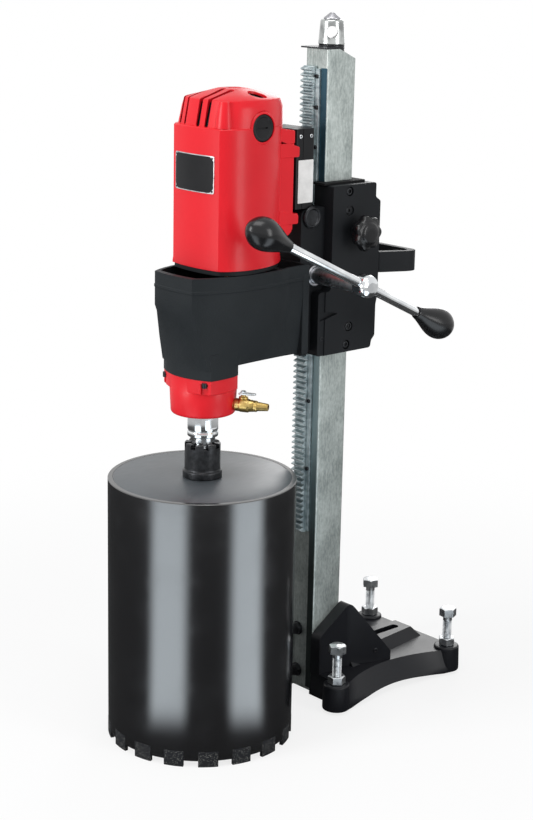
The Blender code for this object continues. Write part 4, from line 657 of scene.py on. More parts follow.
def makeLugs():
    # stepped lugs down the back of the housing, joined by a web on each side
    lug = {"x": (24.0, 41.0), "root": -126.0, "upper": (785, 803, -91.9, 5), "block": (803, 822, -100.7, 2),
           "lower": (697, 713, -91.6, 4), "stub": (683, 697, -103, 1), "web": (690, 806, -101.3),
           "tongues": (791, 705)}
    root, seat = lug["root"], measure("switch_box").y0 - 0.4
    pieces = []
    for way in (-1, 1):
        x0, x1 = span(way, *lug["x"])
        for word in ("upper", "block", "lower", "stub"):
            z0, z1, reach, drop = lug[word]
            side = soften([(root, z0), (reach, z0), (reach, z1 - drop), (root, z1 + drop)], [0, 2.5, 2.5, 0],
                          4)
            if word == "stub":
                side = soften([(root, z0 - 6), (reach - 6, z0), (reach, z0 + 5), (reach, z1), (root, z1)],
                              [0, 4, 3, 1, 0], 4)
            pieces.append(prism(side, x0, x1, "X"))
        z0, z1, reach = lug["web"]
        pieces.append(block(*span(way, 31, 40.4), root, reach, z0, z1))
        for z in lug["tongues"]:     # they reach the bracket behind
            pieces.append(block(*span(way, 26, 36), -96, seat, z - 6, z + 5))
    place("motorLugs", together(*pieces), "carriage", "red", bevel=1.4, segments=3)


def makeMotor():
    box, cap = measure("motor_housing"), measure("motor_end_cover")
    motor = {"axis": cap.y, "low": box.z0 - 1.7, "shoulder": cap.z0 - 0.6, "brushZ": cap.z0 - 1.3,
             "capRadius": 17.5,
             "reach": 61.3, "wall": 5}
    low, shoulder = motor["low"], motor["shoulder"]
    at = y, z = motor["axis"], motor["brushZ"]
    body = loft([(motorOutline(0.8), low), (motorOutline(0.8), low + 3), (motorOutline(), low + 8),
                 (motorOutline(), shoulder - 1.5), (motorOutline(-1.2), shoulder)])
    joins, cuts = [], []
    for way in (-1, 1):
        collar = [(0, way * 40), (22.5, way * 40), (21.5, way * 59), (19.6, way * 61.2), (0, way * 61.2)]
        joins.append(turned(collar, "X", at, 48))
        cuts.append(rod(motor["capRadius"] + 0.4, *span(way, 50, 70), "X", at, 48))
    cuts.append(prism(shrink(motorOutline(), motor["wall"]), low - 5, shoulder - 8))
    place("motorBody", carved(body, joins=joins, cuts=cuts), "carriage", "red", ["motor_housing"], bevel=0.7,
          smooth=28)
    makeLugs()
    makeEndCover(motor)
    makeNameplate()
    for side, way in (("Right", 1), ("Left", -1)):
        outer = way * motor["reach"]
        cup = soften([(0, way * 48.3), (17.3, way * 48.3), (17.3, outer - way * 1.2),
                      (16.2, outer - way * 0.4),
                      (14.2, outer - way * 0.6), (13.4, outer - way * 1.4), (0, outer - way * 1.6)],
                     [0, 0, 0.5, 0.6, 0.4, 0.4, 0], 3, closed=False)
        driver = block(*sorted((outer - way * 3.2, outer + way * 3)), y - 8, y + 8, z - 1.1, z + 1.1)
        place("brushCap" + side, carved(turned(cup, "X", at, 48), cuts=[driver]), "carriage", "plastic",
              ["brush_cap_" + side.lower()], bevel=0.25)


def makeEndCover(motor):
    low, axisY = motor["shoulder"] - 0.3, motor["axis"]
    cover = {"rim": low + 33.5, "apex": low + 46, "wall": 1.8, "slotEnd": -191.0, "slotLow": low + 2.5,
             "slots": ((-36.5, 3.8), (-25.2, 3.8), (2.3, 6.6), (17.8, 6.6)), "dish": (36.0, -164.0, 12.6),
             "dimple": (-5.0, -168.0, 10.5), "brushHole": 21.9}
    rim, apex, wall = cover["rim"], cover["apex"], cover["wall"]
    between = (rim + apex) / 2

    def ring(corner, first, second, rear):
        return mirrored(crown(*corner, motorFace[2]) + sweep(corner, first, second, rear, 24)[1:])

    def scaled(outline, share):
        return [(x * share, axisY + (y - axisY) * share) for x, y in outline]

    foot = ring((42, -229.5), (70, -212), (67, -150), (30, -113.5))
    waist = ring((39, -225), (70, -209), (67, -150), (30, -114))
    brow = ring((38, -223), (63.5, -206), (63.5, -150), (28, -117))
    sections = [(foot, low), (waist, rim - 10), (brow, rim), (scaled(brow, 0.975), rim + 1.2),
                (scaled(brow, 0.62), between + 0.6), (scaled(brow, 0.32), apex - 0.5),
                (scaled(brow, 0.24), apex)]
    inner = [(shrink(foot, wall), low - 5), (shrink(foot, wall), low + 1), (shrink(brow, wall + 1), rim - 3),
             (scaled(brow, 0.58), between - 2), (scaled(brow, 0.24), apex - 2.5)]
    shell = carved(loft(sections), cuts=[loft(inner)])
    joins, cuts = [], []
    for way in (-1, 1):
        x, y, radius = cover["dish"]
        joins.append(rod(radius + 2, rim - 5, rim + 0.2, at=(way * x, y)))
        cuts.append(rod(radius, rim + 0.4, apex + 9, at=(way * x, y), steps=40))
        cuts.append(rod(cover["brushHole"], *span(way, 20, 70), "X", (axisY, motor["brushZ"]), 48))
    x, y, radius = cover["dimple"]
    joins.append(rod(radius + 2, apex - 6, apex - 1.6, at=(x, y)))
    cuts.append(rod(radius, apex - 1.4, apex + 9, at=(x, y), steps=40))
    end, start = cover["slotEnd"], cover["slotLow"]
    for x, width in cover["slots"]:
        half = width / 2
        cuts += [block(x - half, x + half, -250, end, start, apex + 9),
                 rod(half + 0.01, -250, -205, "Y", (x, start), 24),
                 rod(half + 0.01, rim - 8, apex + 9, at=(x, end), steps=24)]
    place("motorEndCover", carved(shell, joins=joins, cuts=cuts), "carriage", "red", ["motor_end_cover"],
          bevel=0.6,
          smooth=28)

    # one hood over the front right corner, open below
    hood = {"at": (40.5, -222.5, low), "turn": 36, "width": 12.0, "depth": 11.0, "height": 33}
    where = stance(hood["at"], radians(hood["turn"]))
    rows = []
    for t in (k / 10 for k in range(11)):
        width, depth = hood["width"] * (1 - 0.42 * t ** 1.5), hood["depth"] * (1 - 0.62 * t ** 1.8)
        rows.append(([(width * cos(pi * i / 16), -depth * sin(pi * i / 16)) for i in range(17)],
                     0.5 + hood["height"] * t))

    def within(share, count, lift):
        return moved(loft([([(x * share, y * share) for x, y in outline], height + lift)
                           for outline, height in rows[:count]]), where)

    place("coverHood", carved(moved(loft(rows), where), cuts=[within(0.80, 5, -3)]), "carriage", "red",
          bevel=0.6)
    place("hoodShade", within(0.79, 3, 2.5), "carriage", "plastic")
    # a black liner just inside the end cover: painted shade seen through the vent slots
    liner = [(shrink(foot, 3.6), low + 1), (shrink(brow, 4.4), rim - 4), (scaled(brow, 0.52), between - 4),
             (scaled(brow, 0.2), apex - 8)]
    place("endCoverShadeLiner", carved(loft(liner), cuts=[block(-70, 70, axisY - 24, axisY + 24, low - 5, low + 22)]),
          "carriage", "plastic")


def makeNameplate():
    plate = {"half": 38.0, "z": (747.0, 795.0), "thick": 1.0, "border": 1.2, "notch": 5.5, "pin": 3.2}
    half, (z0, z1), edge, cut = plate["half"], plate["z"], plate["border"], plate["notch"]
    corner, front, bow = motorFace

    def ahead(x):
        # how far the bowed front of the housing stands out at x
        return bow * (1 - (x / corner) ** 2)

    def bowed(bm):
        for k in range(-6, 7):
            bmesh.ops.bisect_plane(bm, geom=bm.verts[:] + bm.edges[:] + bm.faces[:], plane_co=(k * 6, 0, 0),
                                   plane_no=(1, 0, 0))
        for vert in bm.verts:
            vert.co.y -= ahead(vert.co.x)
        return bm

    outer = soften(rectangle(-half, half, z0, z1), 2.5, 4)
    place("nameplateBack", bowed(prism(outer, front - plate["thick"], front + 0.3, "Y")), "carriage", "zinc")
    x, low, high = half - edge, z0 + edge, z1 - edge
    inner = [(cut - x, low), (x - cut, low), (x, low + cut), (x, high - cut), (x - cut, high),
             (cut - x, high),
             (-x, high - cut), (-x, low + cut)]
    place("nameplateFace", bowed(prism(soften(inner, 1.6, 4), front - plate["thick"] - 0.3, front, "Y")),
          "carriage",
          "plastic")
    pins, inset = [], plate["pin"]
    for x in (inset - half, half - inset):
        for z in (z0 + inset, z1 - inset):
            seat = front - ahead(x)
            pins.append(turned([(0, seat), (1.4, seat), (1.4, seat - 1.3), (1.0, seat - 1.7),
                                (0, seat - 1.8)], "Y",
                               (x, z), 20))
    place("nameplateRivets", together(*pins), "carriage", "oxide")


makeMotor()
print("motor made")


def makeSwitchBox():
    box = measure("switch_box")
    x0, x1, y0, y1, z0, z1 = box.x0, box.x1, box.y0, box.y1, box.z0, box.z1
    rocker, gland = measure("switch_rocker"), measure("cable_gland")
    y, z = rocker.y, rocker.z
    case = {"rim": (11, 16), "window": (8, 13), "gland": 7.4, "seam": 0.4, "label": (8, 65)}
    wide, tall = case["window"]

    def window():
        return block(x0 - 5, x0 + 8, y - wide, y + wide, z - tall, z + tall)

    def glandHole():
        return rod(case["gland"], x0 - 5, x0 + 8, "X", (y, gland.z))

    seam = block(x0 - 5, x1 + 5, box.y - 4 - case["seam"], box.y - 4 + case["seam"], z0 - 5, z1 + 5)
    body = carved(prism(soften(rectangle(x0, x1, y0, y1), 3, 4), z0, z1), cuts=[seam, window(), glandHole()])
    place("switchCase", body, "carriage", "plastic", ["switch_box"], bevel=0.9)
    core = block(x0 + 0.8, x1 - 0.8, y0 + 4, y1 - 4, z0 + 0.8, z1 - 0.8)
    place("switchCaseCore", carved(core, cuts=[window(), glandHole()]), "carriage", "plastic")
    rimWide, rimTall = case["rim"]
    rim = soften(rectangle(y - rimWide, y + rimWide, z - rimTall, z + rimTall), 3, 4)
    place("switchBezel", carved(prism(rim, x0 - 1.6, x0 + 0.2, "X"), cuts=[window()]), "carriage", "plastic",
          bevel=0.4)
    # blank rating label and lid screws
    label = soften(rectangle(y0 + 4.5, y1 - 1.6, *(z0 + height for height in case["label"])), 1, 3)
    place("ratingLabel", prism(label, x1 - 0.1, x1 + 0.35, "X"), "carriage", "paper")
    screws = [socketScrew(2.6, x1 - 0.5, 1.2, 1, "X", (at, z1 - 10)) for at in (y0 + 8, y1 - 6)]
    place("switchCaseScrews", together(*screws), "carriage", "zinc")


makeSwitchBox()


def makeValve():
    valve = {"turn": 30.5, "tapAt": (56, 0), "bladeLow": 14.4, "bladeHigh": 16.8, "nutFlats": 6.5}
    where = stance((0, spindleY, measure("hose_barb").z), radians(valve["turn"]))
    profile = soften([(0, 37), (7.4, 37), (7.4, 44.5), (8.6, 45.5), (8.6, 51), (9.3, 53), (9.3, 63),
                      (8.2, 65),
                      (7.6, 71), (0, 71)], 0.6, 2, closed=False)
    stem = soften([(0, -3), (5, -3), (5, 8), (6.2, 9), (6.2, 11.5), (3.4, 12.2), (3.4, 14), (0, 14)], 0.4, 2,
                  False)
    solid = carved(turned(profile, "X", steps=32), joins=[turned(stem, at=valve["tapAt"], steps=28)])
    place("valveBody", moved(solid, where), "carriage", "brass", ["water_valve_body"], bevel=0.25)
    barb = [(0, 71.3), (7.5, 71.3), (7.5, 74.3), (6.2, 76), (4.9, 89.6), (4.5, 90.2), (3.2, 90.2), (3.2, 84),
            (0, 84)]
    place("hoseBarb", moved(turned(barb, "X", steps=32), where), "carriage", "brass", ["hose_barb"])
    blade = soften([(50, -4.5), (60, -4.5), (73, -2.6), (73, 2.6), (60, 4.5), (50, 4.5)], 2.2, 4)
    nut = hexagonBlock(valve["nutFlats"], 17, 19.6, at=valve["tapAt"])
    place("tapBlade", moved(prism(blade, valve["bladeLow"], valve["bladeHigh"]), where), "tap_lever", "zinc",
          ["tap_lever"], bevel=0.5)
    place("tapNut", moved(nut, where), "tap_lever", "zinc")


makeValve()


def makeRack():
    box = measure("rack")
    rack = {"module": 2.5, "teeth": 83, "ease": 0.3, "screws": (884, 843, 790, 438, 340)}
    module, ease, front, back = rack["module"], rack["ease"], box.y0, box.y1
    pitch = pi * module
    root = front + 2.25 * module
    slant = tan(radians(20))
    tipHalf = pitch / 4 - 0.2 - module * slant
    rootHalf = pitch / 4 - 0.2 + 1.25 * module * slant
    points = [(back, box.z0), (root, box.z0)]
    for z in (box.z0 + pitch / 2 + k * pitch for k in range(rack["teeth"])):
        points += [(root, z - rootHalf), (front + ease, z - tipHalf - 0.1), (front, z - tipHalf + 0.3),
                   (front, z + tipHalf - 0.3), (front + ease, z + tipHalf + 0.1), (root, z + rootHalf)]
    points += [(root, box.z1), (back, box.z1)]
    place("rackBar", prism(points, box.x0, box.x1, "X"), "stand", "rackSteel", ["rack"], smooth=20)
    strip = soften(rectangle(box.x1 + 0.1, box.x1 + 7.4, box.z0 + 3, box.z1 - 3), 1, 2)
    place("rackStrip", prism(strip, back - 3.2, back, "Y"), "stand", "rackSteel", bevel=0.4)
    screws = [socketScrew(2.9, back - 3, 2.6, -1, "Y", (box.x1 + 3.8, z)) for z in rack["screws"]]
    place("rackScrews", together(*screws), "stand", "oxide")


def makeColumn():
    box = measure("column_tube")
    halfX, halfY = (box.x1 - box.x0) / 2, (box.y1 - box.y0) / 2
    z0, z1 = box.z0, box.z1
    # the rear of the tube's top is cut away at a slant
    column = {"slantFrom": -4.0, "drop": 14.5, "wall": 3.5, "jackBore": 12.4, "nut": 17.4}
    slant, drop = column["slantFrom"], column["drop"]

    def jackBore():
        return rod(column["jackBore"], 0, 1000, steps=40)

    wedge = [(slant, z1), (halfY + 2, z1 - drop), (halfY + 2, z1 + 9), (slant, z1 + 9)]
    inside = [halfX - column["wall"], halfY - column["wall"]]
    cuts = [prism(rectangle(-inside[0], inside[0], -inside[1], inside[1]), z0 - 5, z1 + 5),
            prism(wedge, -halfX - 5, halfX + 5, "X")]
    tube = prism(soften(rectangle(-halfX, halfX, -halfY, halfY), 2.6, 6), z0, z1)
    place("columnTube", carved(tube, cuts=cuts), "stand", "galvanised", ["column_tube"], bevel=0.35)
    cap = [(slant, z1 - 0.2), (halfY - 0.4, z1 - drop + 0.6), (halfY - 0.4, z1 - drop - 1.6),
           (slant, z1 - 2.4)]
    place("columnCap", carved(prism(cap, -halfX + 0.8, halfX - 0.8, "X"), cuts=[jackBore()]), "stand",
          "galvanised")
    lid = soften([(-halfX - 6, -halfY - 6), (halfX + 0.4, -halfY - 6), (halfX + 0.4, 4), (-halfX - 6, 4)], 3,
                 4)
    place("columnLid", carved(prism(lid, z1 + 0.3, z1 + 2.2), cuts=[jackBore()]), "stand", "oxide",
          ["column_top_plate"], bevel=0.4)
    nut = carved(rod(column["nut"], z1 - 16, measure("column_top_plate").z1, steps=48), cuts=[jackBore()],
                 keeps=[block(-18.4, 18.4, -19, 19, 0, 1000)])
    place("jackNut", nut, "stand", "oxide", bevel=0.5)
    face = soften(rectangle(8.9, halfX - 1.2, z0 + 4, measure("rack").z1 - 2), 0.6, 2)
    # a thin sheet on the column's front face that carries the painted reflection and highlight
    place("columnFacePaintedReflection", prism(face, -halfY - 0.2, -halfY + 0.4, "Y"), "stand", "paintedReflectionSteel")
    makeRack()

    seat = -halfY - 0.3
    for word in ("upper", "lower"):
        node = "column_bolt_" + word
        bolt = measure(node)
        at = (bolt.x, bolt.z)
        head = hexagonBlock(16, seat - 7, seat - 1.6, "Y", at, turn=0.3, upward=False)
        washer = turned(soften([(0, seat - 1.7), (10, seat - 1.7), (10, seat), (0, seat)], 0.3, 2, False),
                        "Y", at, 36)
        parts = together(head, washer, rod(4.9, seat - 0.5, 37.5, "Y", at))
        place("columnBolt" + word.title(), parts, "stand", "oxide", [node])


def makeJack():
    jack, point = measure("jack_screw"), measure("jack_point")
    seat, top = measure("column_top_plate").z1 + 0.3, jack.z1
    head = {"foot": 18.0, "crown": 15.6, "hole": 8.2, "holeUp": 17.0, "turn": -43.0}
    foot, crest, hole = head["foot"], head["crown"], head["hole"]
    profile = [(0, jack.z0), (10, jack.z0)] + thread(12, jack.z0 + 2, seat - 3, 3)
    profile += soften([(11, seat - 2), (11, seat), (foot - 1, seat), (foot, seat + 1.2),
                       (foot - 0.4, seat + 6),
                       (crest, top - 1.6), (crest - 1.6, top), (5.6, top), (5.6, top - 6.4), (0, top - 6.4)],
                      [0, 0, 0.8, 0.5, 1, 1, 1, 0.4, 0, 0], 3, closed=False)

    def across(radius, reach):
        return rod(radius, -reach, reach, "X", (0, seat + head["holeUp"]), 40)

    turn = Matrix.Rotation(radians(head["turn"]), 4, "Z")
    body = carved(turned(profile, steps=56), cuts=[moved(across(hole, 40), turn)])
    place("jackHead", body, "jack_screw", "jackSteel", ["jack_screw"], bevel=0.6)
    # a thin black sleeve lining the cross hole: painted shade inside it
    wall = carved(across(hole + 0.2, 14), cuts=[across(hole - 0.3, 20)])
    place("jackHoleWall", moved(wall, turn), "jack_screw", "oxide")
    tip = soften([(0, point.z0), (5, point.z0), (5, top + 0.3), (11.5, top + 0.3), (11.5, top + 2),
                  (3.5, point.z1 - 0.6), (2.6, point.z1), (0, point.z1)], [0, 0, 0, 0.5, 0.8, 0.5, 0.5, 0], 3,
                 closed=False)
    place("jackPoint", turned(tip, steps=48), "jack_point", "gearSteel", ["jack_point"])


makeColumn()
makeJack()
print("column made")


def makeBase():
    foot = {"x": 81.0, "front": -34.0, "back": 195.0, "radius": 19.5, "low": 4.0, "bossTop": 42.7,
            "deck": 38.0,
            "plateau": 53.0, "thread": 7.15, "arch": 7}
    deck, plateau, low, back = foot["deck"], foot["plateau"], foot["low"], foot["back"]
    feet = [(x, y) for x in (-foot["x"], foot["x"]) for y in (foot["front"], back)]

    def outline(waist, front, rear, reach):
        # each side is drawn in by waist at its middle
        start, end = foot["front"] + 6, back - 6
        side = [(foot["x"] + reach - waist * (1 - (k / 12 - 1) ** 2),
                 start + (end - start) * k / 24) for k in range(25)]
        right = [(foot["x"] - 22, front), (foot["x"] + reach - 14, foot["front"] - reach + 4)]
        return mirrored(right + side + [(foot["x"] + reach - 8, rear - 4), (foot["x"] - 10, rear)])

    lower = outline(12, -30, back + 18, 17)
    middle = outline(16, -29, back + 16.5, 15.5)
    upper = outline(30, -27, back + 12, 12)
    rise = soften([(0, low), (foot["radius"], low), (foot["radius"], 12), (18.6, foot["bossTop"] - 1),
                   (0, foot["bossTop"])], [0, 2.5, 3, 2.5, 0], 4, closed=False)
    joins = [turned(rise, at=at, steps=40) for at in feet]
    joins.append(loft([(mirrored([(52, 30), (28, back + 5)]), deck - 3),
                       (mirrored([(33, 34), (16, back - 10)]), plateau)]))
    joins.append(block(-21, 21, 26.3, 42, deck - 4, 115))
    cuts = [block(-21.3, 21.3, -60, 26.3, 0, 143),
            prism(soften(rectangle(-6.5, 6.5, 118, 172), 6.4, 6), 0, 63)]
    cuts.append(loft([(mirrored([(46, 62), (52, 110), (50, back)]), 0),
                      (mirrored([(38, 66), (42, 110), (40, back - 6)]), deck - 8)]))
    # the underside arches between the feet
    start, end = foot["front"] + foot["radius"] - 0.5, back - foot["radius"] + 0.5
    arch = [(end - k * (end - start) / 20, low + foot["arch"] * sin(pi * k / 20)) for k in range(20, -1, -1)]
    cuts.append(prism([(start, -10)] + arch + [(end, -10)], -200, 200, "X"))
    cuts += [rod(foot["thread"], 0, 60, at=at) for at in feet]
    body = carved(loft([(lower, low), (lower, 8), (middle, 14), (upper, deck)]), joins=joins, cuts=cuts)
    place("baseCasting", body, "stand", "baseCast", ["base_casting"], bevel=1.7, segments=3)


def makeGussets():
    wing = {"inner": 21.3, "outer": 39.7, "front": -29.0, "fold": 27.0, "back": 95.0, "leaf": 6.5,
            "splay": 22.0,
            "deck": 38.0, "turn": 17.9}
    inner, outer, front, fold, back, leaf, splay, deck, turn = wing.values()
    for side, way in (("Right", 1), ("Left", -1)):
        plan = [(inner, front), (outer, front), (outer + 0.5, fold - 3), (outer + 2, fold + 3),
                (outer + splay, back),
                (outer + splay - leaf, back + 2), (outer - leaf, fold + 5), (inner, fold + 5)]
        rise = soften([(front, deck + 0.3), (front, deck + 58), (fold - 1, 133), (fold + 5, 133),
                       (back + 2, 49),
                       (back + 2, deck + 0.3)], [0, 8, 9, 9, 2, 0], 5)
        clear = loft([(mirrored([(52.5, 29.5), (28.5, 200.5)]), deck - 3),
                      (mirrored([(33.5, 33.5), (16.5, 185.5)]), 53.2)])
        body = carved(prism(rise, *span(way, 0, 90), "X"),
                      keeps=[prism([(way * x, y) for x, y in plan], deck - 10, 143)])
        place("gusset" + side, carved(body, cuts=[clear]), "stand", "baseCast", ["gusset_" + side.lower()],
              bevel=1.3,
              segments=3)
        where = stance((way * (outer + 13.3), fold + 44, 56), radians(-turn if way > 0 else 180 + turn))
        place("gussetScrew" + side, moved(socketScrew(3.4, 0, 2.2, 1, "X", (0, 0)), where), "stand", "oxide")


def makeLevelling():
    level = {"radius": 6.8, "flats": 22.0, "head": 12.0, "bore": 7.1,
             "turns": {"front_right": 0.5, "front_left": 0.1, "rear_right": 0.9, "rear_left": 0.3}}
    radius, flats = level["radius"], level["flats"]
    for corner, turn in level["turns"].items():
        word = corner.title().replace("_", "")
        screw, nut = measure("levelling_screw_" + corner), measure("lock_nut_" + corner)
        at, under = (screw.x, screw.y), screw.z1 - level["head"]
        head = hexagonBlock(flats, under, screw.z1, at=at, turn=turn)
        shank = [(0, 0), (4.8, 0), (5.6, 1.2)] + thread(radius, 2, under - 6, 2)
        shank += [(radius - 0.2, under - 5), (radius, under + 1), (0, under + 1)]
        place("levellingScrew" + word, together(head, turned(shank, at=at, steps=28)), "screw_" + corner,
              "zinc",
              ["levelling_screw_" + corner])
        ring = carved(hexagonBlock(flats, nut.z0, nut.z1, at=at, turn=turn + 0.4),
                      cuts=[rod(level["bore"], 0, 100, at=at)])
        place("lockNut" + word, ring, "stand", "zinc", ["lock_nut_" + corner], bevel=0.3)


makeBase()
makeGussets()
makeLevelling()
print("base made")


def makeCarriage():
    box = measure("carriage_casting")
    bottom, top, rear, neck = box.z0, box.z1, box.y1, box.y0
    slide = {"half": 46.0, "front": -33.0, "bore": 24.9, "deep": 29.9, "shaftBore": 14.8, "pinionRoom": 19.5,
             "screwHole": 6.6, "screws": ((-2, 733), (-2, 707), (3.7, 547), (-1, 522))}
    half, front, bore, deep = slide["half"], slide["front"], slide["bore"], slide["deep"]
    feedY, feedZ = feedAxis
    lowFront, step = feedY - 5, feedZ - 22
    side = [(front, step), (front, top), (rear - 9, top), (rear - 9, top - 20), (rear, top - 26),
            (rear, bottom + 68),
            (rear - 2, bottom + 60), (rear - 2, bottom + 16), (rear - 8, bottom + 10), (rear - 10, bottom),
            (lowFront, bottom), (lowFront, step)]
    body = prism(soften(side, [6, 4, 4, 2, 2, 3, 1, 2, 2, 3, 4, 6], 4), -half, half, "X")
    joins = [prism(soften(rectangle(neck, front + 8, bottom + 6, top - 29), [4, 0, 0, 12], 4), -30, 30, "X")]
    for way in (-1, 1):     # cheeks round the feed shaft
        cheek = soften([(0, way * 20), (19, way * 20), (18, way * 32.5), (0, way * 32.5)], [0, 0, 2, 0], 3,
                       False)
        joins.append(turned(cheek, "X", feedAxis, 44))
    cuts = [block(-bore, bore, -deep, deep, bottom - 5, top + 5),
            block(-22.5, 9, -40, -27, bottom - 5, top + 5),
            rod(slide["pinionRoom"], -22.5, 9, "X", feedAxis, 40),
            rod(slide["shaftBore"], -80, 80, "X", feedAxis, 40),
            rod(5.6, 10, 80, "X", lockAxis), rod(7.4, 20, measure("lock_pad").x1 + 2.5, "X", lockAxis, 40)]
    for at in slide["screws"]:
        cuts += [rod(slide["screwHole"], *span(way, half - 4.5, half + 5), "X", at, 36) for way in (1, -1)]
    cuts += [rod(6.3, 10, half + 5, "X", (0, z)) for z in (547.5, 707)]
    relief = [(lowFront + 4, 573), (-30, 571), (-19, 567.5), (-30, 565.5), (lowFront + 4, 560)]
    cuts += [prism(relief, *span(way, half - 4, half + 5), "X") for way in (1, -1)]
    for way in (-1, 1):     # shallow steps down the edges of each cheek
        cuts.append(block(*span(way, half - 1.2, half + 5), rear - 14, rear + 5, bottom - 5, step))
        cuts.append(block(*span(way, half - 1.5, half + 5), lowFront - 5, lowFront + 12, bottom - 5,
                          step + 5))
    place("carriageCasting", carved(body, joins=joins, cuts=cuts), "carriage", "cast", ["carriage_casting"],
          bevel=1.5,
          segments=3)

    screws = []
    for way in (-1, 1):
        for y, z, radius in ((-2, 733, 5), (3.7, 547, 6), (-1, 522, 5), (-46.6, 535.7, 3)):
            screws.append(socketScrew(radius, way * (half - 5), 4.2, way, "X", (y, z)))
        screws.append(socketScrew(4.6, way * (half - 5), 3.4, way, "X", (-2, 707)))
    place("carriageScrews", together(*screws), "carriage", "oxide")

    bolt = measure("mount_bolt")
    head = soften([(0, bolt.x0), (7, bolt.x0), (7, 30.3), (15, 30.3), (15, 33), (13, 35.4), (11.4, 35.4),
                   (10.2, 33.4),
                   (0, 33.4)], [0, 0, 0, 1, 1, 1, 0.7, 0.5, 0], 3, False)
    place("mountPin", turned(head, "X", (bolt.y, bolt.z), 48), "carriage", "oxide", ["mount_bolt"])
    for side, way in (("right", 1), ("left", -1)):
        bush = measure("shaft_bush_" + side)
        x0, x1 = (bush.x0, bush.x1 + 0.5) if way > 0 else (bush.x0 - 0.5, bush.x1)
        ring = soften([(11.4, x0), (14.4, x0), (14.4, x1), (11.4, x1)], 0.6, 2)
        place("shaftBush" + side.title(), turned(ring, "X", feedAxis, 48, ring=True), "carriage", "gearSteel",
              ["shaft_bush_" + side])
    # the wiper is open at the front, where the rack passes
    wiper = soften([(-34, -38.5), (-22.4, -38.5), (-22.4, -20), (-21.6, -20), (-21.6, 26.6), (21.6, 26.6),
                    (21.6, -26.6), (9, -26.6), (9, -38.5), (34, -38.5), (34, 39), (-34, 39)],
                   [2, 0, 0, 0, 0, 0, 0, 0, 0, 2, 3, 3], 3)
    place("columnWiper", prism(wiper, top + 0.1, top + 3), "carriage", "rubber", bevel=0.4)


def makeCarryHandle():
    box = measure("carry_handle")
    half, reach, root, z0, z1 = box.x1, box.y1, box.y0, box.z0, box.z1
    outer = soften(mirrored([(45, root), (half - 0.5, reach - 13), (half - 6, reach)]), [3, 9, 8, 8, 9, 3], 5)
    inner = soften(mirrored([(36, root + 9), (half - 11, reach - 16), (half - 16, reach - 9)]),
                   [3, 6, 5, 5, 6, 3], 5)
    bar = carved(prism(outer, z0, z1), cuts=[prism(inner, z0 - 5, z1 + 5)])
    place("carryLoop", bar, "carriage", "cast", ["carry_handle"], bevel=2.2, segments=3)


def makeFeed():
    hub = measure("feed_hub")
    at = (hub.y, hub.z)
    lever = {"tilt": 25.5, "bore": 6.6, "rod": 6.3, "grip": 76, "neck": 8.6, "bulb": 16.2,
             "ends": (("Front", 153, -1), ("Rear", 111, 1))}
    body = soften([(0, hub.x0), (13, hub.x0), (15.6, hub.x0 + 3), (15.6, hub.x1 - 7), (13.6, hub.x1 - 2),
                   (7, hub.x1),
                   (0, hub.x1)], [0, 1, 2, 2.5, 2, 2, 0], 5, closed=False)
    where = stance(((hub.x0 + hub.x1 - 1) / 2, hub.y, hub.z), -radians(lever["tilt"]), "X")
    hole = moved(rod(lever["bore"], -50, 50, "Y"), where)
    place("feedHub", carved(turned(body, "X", at, 56), cuts=[hole]), "feed", "chrome", ["feed_hub"],
          bevel=0.4)
    thick = lever["rod"]
    bar = soften([(0, -179), (5, -179), (thick, -177.5), (thick, 135.5), (5, 137), (0, 137)], 0.5, 2,
                 closed=False)
    place("leverRod", moved(turned(bar, "Y", steps=40), where), "feed", "chrome", ["lever_bar"])
    for word, start, way in lever["ends"]:
        profile = [(0, start + 26.3), (6.6, start + 26.3), (6.6, start + 0.5), (8.2, start)]
        for t in (k / 28 for k in range(1, 28)):
            swell = lever["neck"] * (1 - t) ** 0.5 + lever["bulb"] * sin(pi * t ** 1.75) ** 0.72
            profile.append((swell, start + lever["grip"] * t))
        profile.append((0, start + lever["grip"]))
        grip = turned([(r, way * h) for r, h in profile], "Y", steps=48)
        place("leverGrip" + word, moved(grip, where), "feed", "grip", ["lever_grip_" + word.lower()],
              smooth=60)


def makeLockKnob():
    box = measure("lock_knob")
    x0, x1 = box.x0, box.x1
    y, z = lockAxis
    knob = {"radius": 23.3, "wave": 1.7, "lobes": 7, "bore": 5.3}
    lobes = []
    for t in (2 * pi * k / 120 for k in range(120)):
        radius = knob["radius"] + knob["wave"] * cos(knob["lobes"] * t)
        lobes.append((radius * cos(t), radius * sin(t)))
    steps = ((0.80, x0 + 3), (0.95, x0 + 4.2), (1.0, x0 + 6.5), (1.0, x1 - 8), (0.95, x1 - 5.4),
             (0.82, x1 - 4.2))
    star = loft([([(y + a * scale, z + b * scale) for a, b in lobes], x) for scale, x in steps], "X")
    dome = turned(soften([(0, x0), (11, x0), (14, x0 + 4), (19.4, x1 - 6), (18, x1 - 4), (15.5, x1 - 3.4),
                          (13.8, x1 - 1.2), (8, x1), (0, x1)], [0, 1, 1, 1, 1, 1, 2, 4,
                                                                0], 4, False), "X", (y, z), 56)
    body = carved(star, joins=[dome], cuts=[rod(knob["bore"], x0 - 5, x0 + 12.4, "X", (y, z))])
    place("lockRosette", body, "lock_knob", "grip", ["lock_knob"], smooth=40)
    collar = soften([(5.6, 46.2), (10.5, 46.2), (10.5, 51), (9, 53.5), (5.6, 53.5)], 0.7, 2)
    place("lockCollar", turned(collar, "X", (y, z), 40, ring=True), "carriage", "cast")


makeCarriage()
makeCarryHandle()
makeFeed()
makeLockKnob()
print("carriage made")

